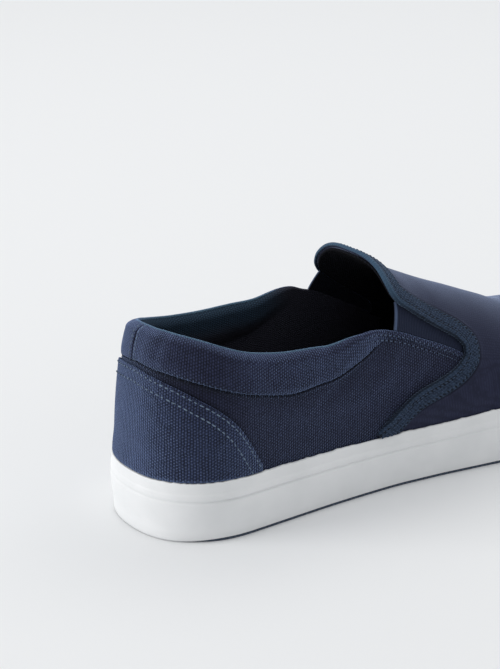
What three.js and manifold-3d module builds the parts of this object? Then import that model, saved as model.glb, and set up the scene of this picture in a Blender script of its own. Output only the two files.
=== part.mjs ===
// Slip-on canvas sneaker for the right foot, as a set of separate closed pieces.
// Millimetres. +Y points to the toe, +X to the outer side of the foot, +Z up.
// The origin is on the floor, under the middle of the outsole.
import * as THREE from 'three';
import { mergeVertices } from 'three/addons/utils/BufferGeometryUtils.js';
import Module from 'manifold-3d';

const wasm = await Module();
wasm.setup();

// Driving sizes of the whole shoe
const LENGTH = 294;
const BALL_WIDTH = 104;
const HEEL_ROUND = 42;
const HEEL_POWER = 2.32;
const TOE_ROUND = 60;
const TOE_POWER = 2.3;
const TOE_SPRING = 7.5;
const COLLAR_HEIGHT = 90.3;
const INSTEP_HEIGHT = 104.5;

// Rubber bottom
const FOXING_HEIGHT = 27.4;
const FOXING_FOOT = 1.3;
const FOXING_SHELF_WIDTH = 2.8;
const FOXING_BOTTOM_TUCK = 1.7;
const FOXING_GROOVE = 0.75;
const FOXING_LEDGE = 0.6;
const OUTSOLE_FLANGE = 1;
const SEAT_HEIGHT = 7.5;
const TREAD_PITCH = 10;
const TREAD_GROOVE = 2.4;
const TREAD_DEPTH = 1.3;
const TREAD_MARGIN = 9;
const TREAD_HEEL_RUN = 14;
const TREAD_TOE_RUN = 22;

// Upper
const FEATHER_INSET = 2.1;
const CROWN_DROP = 3;
const QUARTER_WALL = 1.8;
const VAMP_INNER = 1.2;
const VAMP_RISE = 1;
const VAMP_RISE_AT_FOXING = 0.25;
const VAMP_RISE_RUN = 9;
const COLLAR_OUTER_BULGE = 0.8;
const COLLAR_INNER_BULGE = 5.1;
const COLLAR_SEAM_DEPTH = 0.7;
const COLLAR_SEAM_WIDTH = 1.6;
const COLLAR_ROLL = 3.6;
const COLLAR_LIP = 1.1;
const EDGE_ROLL = 0.5;
const EDGE_LIP = 0.15;
const QUARTER_FRONT_TURN = 0.536;
const THROAT_STEP_RUN = 0.03;

// Trim and footbed
const COUNTER_THICKNESS = 0.7;
const COUNTER_FRONT_TURN = 0.254;
const BINDING_WIDTH = 7;
const BINDING_THICKNESS = 0.8;
const GORE_DEPTH = 0.4;
const GORE_THICKNESS = 1.1;
const INSOLE_THICKNESS = 4.5;
const INSOLE_CUP = 3;
const INSOLE_ARCH = 3;
const INSOLE_CUP_RUN = 11;

// Clearances between neighbouring pieces
const CLEAR = 0.3;
const SKIN_CLEAR = 0.35;
const EDGE_CLEAR = 0.5;
const BINDING_CLEAR = 0.6;
const INSOLE_CLEAR = 0.8;

// Grid densities
const RING_STEPS = 42;
const QUARTER_STEPS = 24;
const VAMP_STEPS = 18;
const VAMP_STEP_GROWTH = 1.35;
const VAMP_RIBS = 18;
const GORE_STEPS = 9;
const GORE_ROWS = 4;

// Outline of the widest foxing: at is the share of LENGTH from the heel,
// outer and inner are the half widths each side, as shares of half the ball width.
const OUTLINE = [
  { at: 0.00, outer: 0.690, inner: 0.748 },
  { at: 0.13, outer: 0.697, inner: 0.754 },
  { at: 0.25, outer: 0.697, inner: 0.745 },
  { at: 0.38, outer: 0.722, inner: 0.680 },
  { at: 0.47, outer: 0.785, inner: 0.645 },
  { at: 0.55, outer: 0.868, inner: 0.690 },
  { at: 0.63, outer: 0.950, inner: 0.825 },
  { at: 0.72, outer: 1.000, inner: 0.965 },
  { at: 0.78, outer: 0.992, inner: 1.000 },
  { at: 0.88, outer: 0.900, inner: 0.965 },
  { at: 1.00, outer: 0.660, inner: 0.860 },
];

// Sole heights along the length: top is a share of FOXING_HEIGHT, spring of TOE_SPRING.
const SOLE_SIDE = [
  { at: 0.00, top: 1.000, spring: 0.00 },
  { at: 0.15, top: 1.000, spring: 0.00 },
  { at: 0.30, top: 0.971, spring: 0.00 },
  { at: 0.45, top: 0.949, spring: 0.00 },
  { at: 0.68, top: 1.055, spring: 0.00 },
  { at: 0.80, top: 1.077, spring: 0.16 },
  { at: 0.90, top: 1.115, spring: 0.48 },
  { at: 1.00, top: 1.168, spring: 1.00 },
];

// Sections of the last: spine is where each section's top lies along LENGTH, shift its place
// across as a share of BALL_WIDTH, full the power of its rounded flank.
const SECTIONS = [
  { at: 0.00, spine: 0.170, shift: -0.014, full: 2.30 },
  { at: 0.08, spine: 0.180, shift: -0.014, full: 2.42 },
  { at: 0.16, spine: 0.205, shift: -0.014, full: 2.60 },
  { at: 0.26, spine: 0.270, shift: -0.014, full: 2.82 },
  { at: 0.36, spine: 0.360, shift: -0.014, full: 3.00 },
  { at: 0.40, spine: 0.398, shift: -0.014, full: 3.05 },
  { at: 0.50, spine: 0.500, shift: -0.014, full: 2.58 },
  { at: 0.70, spine: 0.700, shift: 0.000, full: 2.08 },
  { at: 0.80, spine: 0.780, shift: -0.018, full: 2.08 },
  { at: 0.88, spine: 0.825, shift: -0.035, full: 2.12 },
  { at: 0.95, spine: 0.850, shift: -0.050, full: 2.20 },
  { at: 1.00, spine: 0.858, shift: -0.058, full: 2.25 },
];

// Height of the last's ridge along the length, as a share of INSTEP_HEIGHT.
const RIDGE = [
  { at: 0.16, height: 1.250 },
  { at: 0.25, height: 1.200 },
  { at: 0.33, height: 1.100 },
  { at: 0.39, height: 0.987 },
  { at: 0.43, height: 0.922 },
  { at: 0.47, height: 0.853 },
  { at: 0.515, height: 0.792 },
  { at: 0.56, height: 0.735 },
  { at: 0.61, height: 0.678 },
  { at: 0.65, height: 0.630 },
  { at: 0.69, height: 0.582 },
  { at: 0.74, height: 0.516 },
  { at: 0.80, height: 0.462 },
  { at: 0.86, height: 0.440 },
  { at: 0.90, height: 0.433 },
];

// Quarter top line: turn is the share of the half outline from heel to toe. outer and inner are
// the edge heights on each side, as shares of COLLAR_HEIGHT at the collar and of INSTEP_HEIGHT
// ahead of it. band is the collar's height below them, as a share of COLLAR_HEIGHT, and pad how
// much of the collar's padding is there.
const TOPLINE = [
  { turn: 0.000, outer: 0.996, inner: 0.996, band: 0.170, pad: 1.0 },
  { turn: 0.050, outer: 1.000, inner: 0.984, band: 0.179, pad: 1.0 },
  { turn: 0.100, outer: 0.992, inner: 0.960, band: 0.184, pad: 1.0 },
  { turn: 0.150, outer: 0.970, inner: 0.931, band: 0.192, pad: 1.0 },
  { turn: 0.190, outer: 0.938, inner: 0.903, band: 0.195, pad: 1.0 },
  { turn: 0.250, outer: 0.878, inner: 0.868, band: 0.195, pad: 1.0 },
  { turn: 0.300, outer: 0.840, inner: 0.853, band: 0.199, pad: 1.0 },
  { turn: 0.350, outer: 0.814, inner: 0.848, band: 0.164, pad: 0.9 },
  { turn: 0.377, outer: 0.7805, inner: 0.8189, band: 0.134, pad: 0.75 },
  { turn: 0.400, outer: 0.7368, inner: 0.7901, band: 0.091, pad: 0.45 },
  { turn: 0.416, outer: 0.7156, inner: 0.7628, band: 0.050, pad: 0.15 },
  { turn: 0.430, outer: 0.7043, inner: 0.7310, band: 0.035, pad: 0.0 },
  { turn: 0.445, outer: 0.6947, inner: 0.7120, band: 0.035, pad: 0.0 },
  { turn: 0.469, outer: 0.6481, inner: 0.6610, band: 0.035, pad: 0.0 },
  { turn: 0.493, outer: 0.5945, inner: 0.6014, band: 0.035, pad: 0.0 },
  { turn: 0.511, outer: 0.5530, inner: 0.5556, band: 0.035, pad: 0.0 },
  { turn: 0.519, outer: 0.5288, inner: 0.5288, band: 0.035, pad: 0.0 },
  { turn: 0.540, outer: 0.4839, inner: 0.4839, band: 0.035, pad: 0.0 },
];
const COLLAR_END_TURN = 0.35;
const INSTEP_START_TURN = 0.43;

// Throat edge of the vamp, from the foxing over the quarter to the tongue top:
// height is a share of INSTEP_HEIGHT.
const THROAT = [
  { height: 0.070, turn: 0.385 },
  { height: 0.250, turn: 0.411 },
  { height: 0.292, turn: 0.421 },
  { height: 0.351, turn: 0.439 },
  { height: 0.412, turn: 0.462 },
  { height: 0.444, turn: 0.486 },
  { height: 0.466, turn: 0.500 },
  { height: 0.500, turn: 0.513 },
  { height: 0.528, turn: 0.519 },
  { height: 0.557, turn: 0.520 },
  { height: 0.604, turn: 0.513 },
  { height: 0.657, turn: 0.496 },
  { height: 0.726, turn: 0.473 },
  { height: 0.782, turn: 0.456 },
  { height: 0.814, turn: 0.447 },
  { height: 0.852, turn: 0.442 },
  { height: 0.900, turn: 0.440 },
  { height: 1.000, turn: 0.440 },
];
const GORE_TOP = 0.812;
const GORE_BACK_TURN = 0.438;
const GORE_TIP = 0.93;

// Upper edge of the heel counter: height is a share of COLLAR_HEIGHT.
const COUNTER = [
  { turn: 0.000, height: 0.806 },
  { turn: 0.044, height: 0.793 },
  { turn: 0.079, height: 0.777 },
  { turn: 0.111, height: 0.753 },
  { turn: 0.149, height: 0.708 },
  { turn: 0.184, height: 0.650 },
  { turn: 0.218, height: 0.554 },
  { turn: 0.234, height: 0.477 },
  { turn: 0.247, height: 0.396 },
  { turn: 0.257, height: 0.330 },
];

const OUTER = 1;
const INNER = -1;

function clamp(value, low, high) {
  return Math.min(Math.max(value, low), high);
}

function smooth(value) {
  const share = clamp(value, 0, 1);
  return share * share * (3 - 2 * share);
}

function mix(from, to, share) {
  return from + (to - from) * share;
}

// Smooth curve through one column of a table that never overshoots its rows.
function curve(rows, key, column) {
  const x = rows.map((row) => row[key]);
  const y = rows.map((row) => row[column]);
  const last = x.length - 1;
  const slope = x.slice(1).map((value, i) => (y[i + 1] - y[i]) / (value - x[i]));
  const tangent = x.map((_, i) => {
    if (i === 0 || i === last) {
      return slope[Math.min(i, last - 1)];
    }
    if (slope[i - 1] * slope[i] <= 0) {
      return 0;
    }
    const before = x[i] - x[i - 1];
    const after = x[i + 1] - x[i];
    const weightBefore = 2 * after + before;
    const weightAfter = after + 2 * before;
    return (weightBefore + weightAfter) / (weightBefore / slope[i - 1] + weightAfter / slope[i]);
  });
  return (value) => {
    const at = clamp(value, x[0], x[last]);
    let i = 0;
    while (i < last - 1 && at > x[i + 1]) {
      i += 1;
    }
    const step = x[i + 1] - x[i];
    const t = (at - x[i]) / step;
    const t2 = t * t;
    const t3 = t2 * t;
    return (2 * t3 - 3 * t2 + 1) * y[i] + (t3 - 2 * t2 + t) * step * tangent[i]
      + (3 * t2 - 2 * t3) * y[i + 1] + (t3 - t2) * step * tangent[i + 1];
  };
}

const outlineOuter = curve(OUTLINE, 'at', 'outer');
const outlineInner = curve(OUTLINE, 'at', 'inner');
const soleTop = curve(SOLE_SIDE, 'at', 'top');
const soleSpring = curve(SOLE_SIDE, 'at', 'spring');
const sectionSpine = curve(SECTIONS, 'at', 'spine');
const sectionShift = curve(SECTIONS, 'at', 'shift');
const sectionFull = curve(SECTIONS, 'at', 'full');
const ridgeHeight = curve(RIDGE, 'at', 'height');
const topOuter = curve(TOPLINE, 'turn', 'outer');
const topInner = curve(TOPLINE, 'turn', 'inner');
const topBand = curve(TOPLINE, 'turn', 'band');
const topPad = curve(TOPLINE, 'turn', 'pad');
const throatTurn = curve(THROAT, 'height', 'turn');
const counterHeight = curve(COUNTER, 'turn', 'height');

// The outline in plan

function lengthShare(turn) {
  return (1 - Math.cos(Math.PI * turn)) / 2;
}

function rounding(share) {
  const fromHeel = clamp(share * LENGTH / HEEL_ROUND, 0, 1);
  const fromToe = clamp((1 - share) * LENGTH / TOE_ROUND, 0, 1);
  const heel = (1 - (1 - fromHeel) ** HEEL_POWER) ** (1 / HEEL_POWER);
  const toe = (1 - (1 - fromToe) ** TOE_POWER) ** (1 / TOE_POWER);
  return heel * toe;
}

function outlinePoint(turn, side) {
  const share = lengthShare(turn);
  const outer = outlineOuter(share) * BALL_WIDTH / 2;
  const inner = outlineInner(share) * BALL_WIDTH / 2;
  const x = (outer - inner) / 2 + side * (outer + inner) / 2 * rounding(share);
  return new THREE.Vector2(x, (share - 0.5) * LENGTH);
}

const TURN_NUDGE = 2e-4;

// A point of the outline, moved out (or in, when out is negative) square to it.
function outline(turn, side, out) {
  const point = outlinePoint(turn, side);
  if (turn <= 0 || turn >= 1) {
    point.y += turn <= 0 ? -out : out;
    return point;
  }
  const near = clamp(turn, TURN_NUDGE, 1 - TURN_NUDGE);
  const along = outlinePoint(near + TURN_NUDGE, side).sub(outlinePoint(near - TURN_NUDGE, side));
  along.normalize();
  point.x += along.y * side * out;
  point.y -= along.x * side * out;
  return point;
}

function springAt(turn) {
  return soleSpring(lengthShare(turn)) * TOE_SPRING;
}

function foxingTop(turn) {
  return soleTop(lengthShare(turn)) * FOXING_HEIGHT;
}

// The last that the upper is formed on. turn runs from heel to toe on each side, rise from the
// feather edge (0) to the ridge (a quarter circle).

const RIDGE_RISE = Math.PI / 2;
const FEATHER_RISE = -0.25;

// One section of the last: an upright wall from its foot to where the crown starts, just under
// the foxing's top, then the crown up to the ridge.
function section(turn) {
  const at = lengthShare(turn);
  const spine = sectionSpine(at);
  return {
    foot: SEAT_HEIGHT + CLEAR + springAt(turn),
    crown: foxingTop(turn) - CROWN_DROP,
    ridge: ridgeHeight(spine) * INSTEP_HEIGHT,
    full: sectionFull(at),
    spineX: sectionShift(at) * BALL_WIDTH,
    spineY: (spine - 0.5) * LENGTH,
  };
}

function riseAt(turn, height) {
  const cut = section(turn);
  if (height < cut.crown) {
    return FEATHER_RISE * clamp((cut.crown - height) / (cut.crown - cut.foot), 0, 1);
  }
  const share = clamp((height - cut.crown) / (cut.ridge - cut.crown), 0, 1);
  return Math.asin(share ** (cut.full / 2));
}

function heightAt(turn, rise) {
  const cut = section(turn);
  if (rise < 0) {
    return mix(cut.crown, cut.foot, rise / FEATHER_RISE);
  }
  return mix(cut.crown, cut.ridge, Math.sin(rise) ** (2 / cut.full));
}

function lastPoint(turn, side, rise) {
  const cut = section(turn);
  const base = outline(turn, side, -FEATHER_INSET);
  const lean = rise > 0 ? 1 - Math.max(Math.cos(rise), 0) ** (2 / cut.full) : 0;
  return new THREE.Vector3(
    mix(base.x, cut.spineX, lean),
    mix(base.y, cut.spineY, lean),
    heightAt(turn, rise),
  );
}

const SLOPE_STEP = 1e-3;

function lastSlopes(turn, side, rise) {
  const low = clamp(turn - SLOPE_STEP, 0, 1);
  const high = clamp(turn + SLOPE_STEP, 0, 1);
  const down = clamp(rise - SLOPE_STEP, FEATHER_RISE, RIDGE_RISE);
  const up = clamp(rise + SLOPE_STEP, FEATHER_RISE, RIDGE_RISE);
  const along = lastPoint(high, side, rise).sub(lastPoint(low, side, rise)).divideScalar(high - low);
  const over = lastPoint(turn, side, up).sub(lastPoint(turn, side, down)).divideScalar(up - down);
  return { along, over };
}

function sideNormal(turn, side, rise) {
  const { along, over } = lastSlopes(turn, side, rise);
  return along.cross(over).multiplyScalar(side).normalize();
}

function lastNormal(turn, side, rise) {
  const normal = sideNormal(turn, side, rise);
  if (rise >= RIDGE_RISE || turn <= 0 || turn >= 1) {
    normal.add(sideNormal(turn, -side, rise));
  }
  return normal.normalize();
}

// A point at the distance out from the last, measured square to it.
function onLast(turn, side, rise, out) {
  return lastPoint(turn, side, rise).addScaledVector(lastNormal(turn, side, rise), out);
}

function onLastAtHeight(turn, side, height, out) {
  return onLast(turn, side, riseAt(turn, height), out);
}

// Closed meshes from rows of points

const MERGE_DISTANCE = 1e-4;

class Body {
  constructor() {
    this.points = [];
    this.faces = [];
  }

  add(point) {
    this.points.push(point.x, point.y, point.z);
    return this.points.length / 3 - 1;
  }

  row(points) {
    return points.map((point) => this.add(point));
  }

  strip(first, second, closed) {
    const count = first.length;
    for (let i = 0; i < (closed ? count : count - 1); i += 1) {
      const next = (i + 1) % count;
      this.faces.push(first[i], first[next], second[next]);
      this.faces.push(first[i], second[next], second[i]);
    }
  }

  // Fills a closed row; against turns the faces against the row's own direction.
  cap(row, contour, against) {
    const turned = THREE.ShapeUtils.area(contour) < 0;
    for (const corners of THREE.ShapeUtils.triangulateShape(contour, [])) {
      const [a, b, c] = corners;
      const lean = THREE.ShapeUtils.area([contour[a], contour[b], contour[c]]) < 0;
      const face = corners.map((corner) => row[corner]);
      this.faces.push(...(lean === turned !== against ? face : face.reverse()));
    }
  }

  geometry() {
    let shape = new THREE.BufferGeometry();
    shape.setAttribute('position', new THREE.Float32BufferAttribute(this.points, 3));
    shape.setIndex(this.faces);
    shape = mergeVertices(shape, MERGE_DISTANCE);
    const whole = [];
    const index = shape.index.array;
    for (let i = 0; i < index.length; i += 3) {
      const [a, b, c] = [index[i], index[i + 1], index[i + 2]];
      if (a !== b && b !== c && c !== a) {
        whole.push(a, b, c);
      }
    }
    shape.setIndex(volume(shape.attributes.position, whole) < 0 ? whole.reverse() : whole);
    return shape;
  }
}

function volume(position, index) {
  const [a, b, c] = [new THREE.Vector3(), new THREE.Vector3(), new THREE.Vector3()];
  let sum = 0;
  for (let i = 0; i < index.length; i += 3) {
    a.fromBufferAttribute(position, index[i]);
    b.fromBufferAttribute(position, index[i + 1]);
    c.fromBufferAttribute(position, index[i + 2]);
    sum += a.dot(b.cross(c)) / 6;
  }
  return sum;
}

// Rows of points one after another, each row a closed contour, with flat ends.
function sweep(rows, contourStart, contourEnd) {
  const body = new Body();
  const indices = rows.map((row) => body.row(row));
  for (let i = 1; i < indices.length; i += 1) {
    body.strip(indices[i - 1], indices[i], true);
  }
  body.cap(indices[0], contourStart, true);
  body.cap(indices[indices.length - 1], contourEnd, false);
  return body.geometry();
}

// The same without ends: the last row meets the first.
function loop(rows) {
  const body = new Body();
  const indices = rows.map((row) => body.row(row));
  indices.forEach((row, i) => body.strip(row, indices[(i + 1) % indices.length], true));
  return body.geometry();
}

function toSolid(geometry) {
  return new wasm.Manifold(new wasm.Mesh({
    numProp: 3,
    vertProperties: Float32Array.from(geometry.attributes.position.array),
    triVerts: Uint32Array.from(geometry.index.array),
  }));
}

function fromSolid(solid) {
  const mesh = solid.getMesh();
  const shape = new THREE.BufferGeometry();
  shape.setAttribute('position', new THREE.BufferAttribute(mesh.vertProperties, 3));
  shape.setIndex(Array.from(mesh.triVerts));
  return shape;
}

// Stations round the whole outline: up the outer side to the toe, back down the inner side.
function ringStations(steps) {
  const stations = [];
  for (let i = 0; i < steps; i += 1) {
    stations.push({ turn: i / steps, side: OUTER });
  }
  for (let i = steps; i > 0; i -= 1) {
    stations.push({ turn: i / steps, side: INNER });
  }
  return stations;
}

function outlinePoint3(station, out, height) {
  const flat = outline(station.turn, station.side, out);
  return new THREE.Vector3(flat.x, flat.y, height);
}

// A plate made of outline rings, closed by strips across at the bottom and the top.
function plate(levels) {
  const body = new Body();
  const stations = ringStations(RING_STEPS);
  const rings = levels.map((level) => body.row(stations.map((station) => {
    const { out, height } = level(station);
    return outlinePoint3(station, out, height);
  })));
  for (let i = 1; i < rings.length; i += 1) {
    body.strip(rings[i - 1], rings[i], true);
  }
  const across = (ring, flip) => {
    const outer = ring.slice(0, RING_STEPS + 1);
    const inner = [ring[0], ...ring.slice(RING_STEPS + 1).reverse(), ring[RING_STEPS]];
    body.strip(flip ? outer : inner, flip ? inner : outer, false);
  };
  across(rings[0], false);
  across(rings[rings.length - 1], true);
  return body.geometry();
}

// Sole pieces

function outsoleBlank() {
  const core = -(FEATHER_INSET + FOXING_SHELF_WIDTH + CLEAR);
  const level = (out, height) => ({ turn }) => ({ out, height: springAt(turn) + height });
  return plate([
    level(-FOXING_BOTTOM_TUCK - CLEAR, 0),
    level(-FOXING_BOTTOM_TUCK, CLEAR),
    level(-FOXING_BOTTOM_TUCK, OUTSOLE_FLANGE),
    level(core, OUTSOLE_FLANGE),
    level(core, SEAT_HEIGHT),
  ]);
}

// Place across of the tread's edge on one side, for a place along the sole.
const TREAD_EDGE_STEPS = 100;

function treadEdge(side) {
  const rows = [];
  for (let i = 0; i <= TREAD_EDGE_STEPS; i += 1) {
    const { x, y } = outline(i / TREAD_EDGE_STEPS, side, -TREAD_MARGIN);
    rows.push({ x, y });
  }
  return curve(rows, 'y', 'x');
}

const treadOuter = treadEdge(OUTER);
const treadInner = treadEdge(INNER);

// One tread groove across the sole, as wide as the outline less its margin there.
function treadCutter(y) {
  const turn = Math.acos(-2 * y / LENGTH) / Math.PI;
  const [back, front] = [y - TREAD_GROOVE / 2, y + TREAD_GROOVE / 2];
  const left = Math.max(treadInner(back), treadInner(front));
  const right = Math.min(treadOuter(back), treadOuter(front));
  const floor = springAt(turn);
  const cutter = new THREE.BoxGeometry(right - left, TREAD_GROOVE, 2 * TREAD_DEPTH);
  cutter.rotateX(Math.atan2(springSlope(turn), 1));
  cutter.translate((left + right) / 2, y, floor);
  cutter.deleteAttribute('normal');
  cutter.deleteAttribute('uv');
  return toSolid(mergeVertices(cutter));
}

function springSlope(turn) {
  const low = clamp(turn - SLOPE_STEP, 0, 1);
  const high = clamp(turn + SLOPE_STEP, 0, 1);
  return (springAt(high) - springAt(low)) / ((lengthShare(high) - lengthShare(low)) * LENGTH);
}

function outsole() {
  let solid = toSolid(outsoleBlank());
  const end = LENGTH / 2 - TREAD_TOE_RUN;
  for (let y = -LENGTH / 2 + TREAD_HEEL_RUN; y < end; y += TREAD_PITCH) {
    solid = solid.subtract(treadCutter(y));
  }
  return fromSolid(solid);
}

// How far the upper stands off the last where the foxing holds it.
function riseAtFoxing(turn) {
  return VAMP_RISE_AT_FOXING * smooth((turn - THROAT[0].turn) / THROAT_STEP_RUN + 1);
}

// The foxing's own section: share is the height between its foot and its top.
const FOXING_SIDE = [
  { share: 0.20, tuck: 0.53 },
  { share: 0.40, tuck: 0.12 },
  { share: 0.56, tuck: 0.00 },
];
const FOXING_GROOVE_LOW = 0.655;
const FOXING_GROOVE_HIGH = 0.71;
const FOXING_BAND_TOP = 0.79;
const FOXING_SHOULDER = 0.83;
const FOXING_LIP = 0.4;

function foxing() {
  return loop(ringStations(RING_STEPS).map((station) => {
    const spring = springAt(station.turn);
    const foot = spring + FOXING_FOOT;
    const top = foxingTop(station.turn);
    const inside = -FEATHER_INSET + riseAtFoxing(station.turn) + SKIN_CLEAR;
    const shelf = -(FEATHER_INSET + FOXING_SHELF_WIDTH);
    const seat = spring + SEAT_HEIGHT;
    const point = (out, height) => outlinePoint3(station, out, height);
    const level = (share) => mix(foot, top, share);
    const ledge = -FOXING_LEDGE / 3;
    return [
      point(-FOXING_BOTTOM_TUCK, foot),
      ...FOXING_SIDE.map(({ share, tuck }) => point(-tuck * FOXING_BOTTOM_TUCK, level(share))),
      point(ledge / 2, level(FOXING_GROOVE_LOW)),
      point(-FOXING_GROOVE, level((FOXING_GROOVE_LOW + FOXING_GROOVE_HIGH) / 2)),
      point(ledge, level(FOXING_GROOVE_HIGH)),
      point(ledge, level(FOXING_BAND_TOP)),
      point(-FOXING_LEDGE, level(FOXING_SHOULDER)),
      point(-FOXING_LEDGE, top - FOXING_LEDGE),
      point(mix(-FOXING_LEDGE, inside, FOXING_LIP), top),
      point(inside, top),
      point(inside, seat),
      point(shelf, seat),
      point(shelf, foot),
    ];
  }));
}

// Where the insole's heel cup ends and its arch starts and ends, as shares of LENGTH, and how
// far its rim has dished at a third of the cup's run.
const INSOLE_CUP_END = 0.45;
const INSOLE_ARCH_START = 0.18;
const INSOLE_ARCH_END = 0.45;
const INSOLE_ARCH_RUN = 0.2;
const INSOLE_DISH = 0.4;

function insole() {
  const edge = -(FEATHER_INSET + QUARTER_WALL + INSOLE_CLEAR);
  const foot = ({ turn }) => springAt(turn) + SEAT_HEIGHT + CLEAR;
  const bed = (station) => foot(station) + INSOLE_THICKNESS;
  const cup = ({ turn }) => INSOLE_CUP * (1 - smooth(lengthShare(turn) / INSOLE_CUP_END));
  const arch = ({ turn, side }) => {
    const share = lengthShare(turn);
    const up = smooth((share - INSOLE_ARCH_START) / INSOLE_ARCH_RUN);
    const down = smooth((share - INSOLE_ARCH_END) / INSOLE_ARCH_RUN);
    const hump = up * (1 - down);
    return side === INNER && turn < 1 && turn > 0 ? INSOLE_ARCH * hump : 0;
  };
  const rim = (station) => bed(station) + cup(station) + arch(station);
  return plate([
    (station) => ({ out: edge, height: foot(station) }),
    (station) => ({ out: edge, height: rim(station) - CLEAR }),
    (station) => ({ out: edge - CLEAR, height: rim(station) }),
    (station) => ({
      out: edge - INSOLE_CUP_RUN / 3,
      height: mix(rim(station), bed(station), INSOLE_DISH),
    }),
    (station) => ({ out: edge - INSOLE_CUP_RUN, height: bed(station) }),
  ]);
}

// Upper

function topHeight(turn, side) {
  const ahead = smooth((turn - COLLAR_END_TURN) / (INSTEP_START_TURN - COLLAR_END_TURN));
  const share = side === OUTER ? topOuter(turn) : topInner(turn);
  return share * mix(COLLAR_HEIGHT, INSTEP_HEIGHT, ahead);
}

// How the collar's section fills its band: heights as shares of the band, fullness as shares of
// the bulge, and places across as shares of the way between the outer bulge and the lining.
const BULGE_UP = 0.35;
const SHOULDER_UP = 0.5;
const SEAM_FULL = 0.3;
const SHOULDER_FULL = 0.8;
const LIP_OUTSIDE = 0.22;
const CREST = 0.5;
const LIP_INSIDE = 0.18;
const LINING_FULL = 0.97;
const LINING_EASE = 0.45;
const LINING_EASE_RUN = 3 * COLLAR_SEAM_WIDTH;
const WALL_MIDDLE = 0.5;
const LINING_MIDDLE = 0.4;
const WALL_TUCK = 1;

// Section of the quarter at one station, as heights and distances from the last: up the outside,
// over the collar and down the lining.
function quarterSection(turn, side) {
  const top = topHeight(turn, side);
  const pad = topPad(turn);
  const seam = top - topBand(turn) * COLLAR_HEIGHT;
  const { foot } = section(turn);
  const fox = foxingTop(turn);
  const bulge = COLLAR_OUTER_BULGE * pad;
  const lining = -QUARTER_WALL - COLLAR_INNER_BULGE * pad;
  const groove = COLLAR_SEAM_WIDTH / 2;
  const shoulder = Math.max(top - mix(EDGE_ROLL, COLLAR_ROLL, pad), mix(seam, top, SHOULDER_UP));
  const lip = top - mix(EDGE_LIP, COLLAR_LIP, pad);
  const full = mix(seam, top, BULGE_UP);
  return [
    { height: foot, out: 0 },
    { height: fox - WALL_TUCK, out: 0 },
    { height: mix(fox, seam, WALL_MIDDLE), out: 0 },
    { height: seam - groove, out: 0 },
    { height: seam, out: -COLLAR_SEAM_DEPTH * pad },
    { height: seam + groove, out: SEAM_FULL * bulge },
    { height: full, out: bulge },
    { height: shoulder, out: SHOULDER_FULL * bulge },
    { height: lip, out: mix(SHOULDER_FULL * bulge, lining, LIP_OUTSIDE) },
    { height: top, out: mix(bulge, lining, CREST) },
    { height: lip, out: mix(lining, bulge, LIP_INSIDE) },
    { height: shoulder, out: lining },
    { height: full, out: lining * LINING_FULL },
    { height: seam - groove, out: mix(-QUARTER_WALL, lining, LINING_EASE) },
    { height: seam - LINING_EASE_RUN, out: -QUARTER_WALL },
    { height: mix(fox, seam, LINING_MIDDLE), out: -QUARTER_WALL },
    { height: fox - WALL_TUCK, out: -QUARTER_WALL },
    { height: foot, out: -QUARTER_WALL },
  ];
}

function contourOf(profile) {
  return profile.map(({ height, out }) => new THREE.Vector2(out, height));
}

function quarters() {
  const stations = [];
  for (let i = -QUARTER_STEPS; i <= QUARTER_STEPS; i += 1) {
    const side = i < 0 ? INNER : OUTER;
    stations.push({ turn: QUARTER_FRONT_TURN * Math.abs(i) / QUARTER_STEPS, side });
  }
  const rows = stations.map(({ turn, side }) => quarterSection(turn, side)
    .map(({ height, out }) => onLastAtHeight(turn, side, height, out)));
  const end = contourOf(quarterSection(QUARTER_FRONT_TURN, OUTER));
  return sweep(rows, contourOf(quarterSection(QUARTER_FRONT_TURN, INNER)), end);
}

// Turn of the throat edge for a given rise, from its heights.
const THROAT_SAMPLES = 80;
const THROAT_LINE = [];
for (let i = 0; i <= THROAT_SAMPLES; i += 1) {
  const height = mix(THROAT[0].height, 1, i / THROAT_SAMPLES);
  const turn = throatTurn(height);
  const rise = riseAt(turn, height * INSTEP_HEIGHT);
  const before = THROAT_LINE.length ? THROAT_LINE[THROAT_LINE.length - 1].rise : -1;
  if (rise > before + SLOPE_STEP) {
    THROAT_LINE.push({ rise, turn });
  }
}
const throatTurnAtRise = curve(THROAT_LINE, 'rise', 'turn');

// Rises along the throat edge from one end to the other, closer together where the edge bends.
const BEND_WEIGHT = 14;
const FINE_STEPS = 8;

function throatRises(from, to, count) {
  const fine = FINE_STEPS * count;
  const points = [];
  for (let i = 0; i <= fine; i += 1) {
    const rise = mix(from, to, i / fine);
    points.push({ rise, point: lastPoint(throatTurnAtRise(rise), OUTER, rise), run: 0 });
  }
  for (let i = 1; i <= fine; i += 1) {
    const step = points[i].point.clone().sub(points[i - 1].point);
    const next = points[Math.min(i + 1, fine)].point.clone().sub(points[i].point);
    const bend = i < fine ? step.angleTo(next) : 0;
    points[i].run = points[i - 1].run + step.length() + BEND_WEIGHT * bend;
  }
  const riseAtRun = curve(points, 'run', 'rise');
  return Array.from({ length: count + 1 }, (_, i) => riseAtRun(points[fine].run * i / count));
}

function vampOut(turn, height) {
  const share = smooth((height - foxingTop(turn)) / VAMP_RISE_RUN);
  return mix(VAMP_RISE_AT_FOXING, VAMP_RISE, share);
}

// Turn and rise of the vamp's points: rows from the feather edge to the ridge, each from the
// throat edge to the toe.
function vampPlaces() {
  const edgeRises = throatRises(FEATHER_RISE, RIDGE_RISE, VAMP_RIBS);
  return edgeRises.map((edgeRise, j) => {
    const evenRise = mix(FEATHER_RISE, RIDGE_RISE, j / VAMP_RIBS);
    const edgeTurn = throatTurnAtRise(edgeRise);
    return Array.from({ length: VAMP_STEPS + 1 }, (_, i) => {
      const share = (i / VAMP_STEPS) ** VAMP_STEP_GROWTH;
      return { turn: mix(edgeTurn, 1, share), rise: mix(edgeRise, evenRise, smooth(share)) };
    });
  });
}

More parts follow.
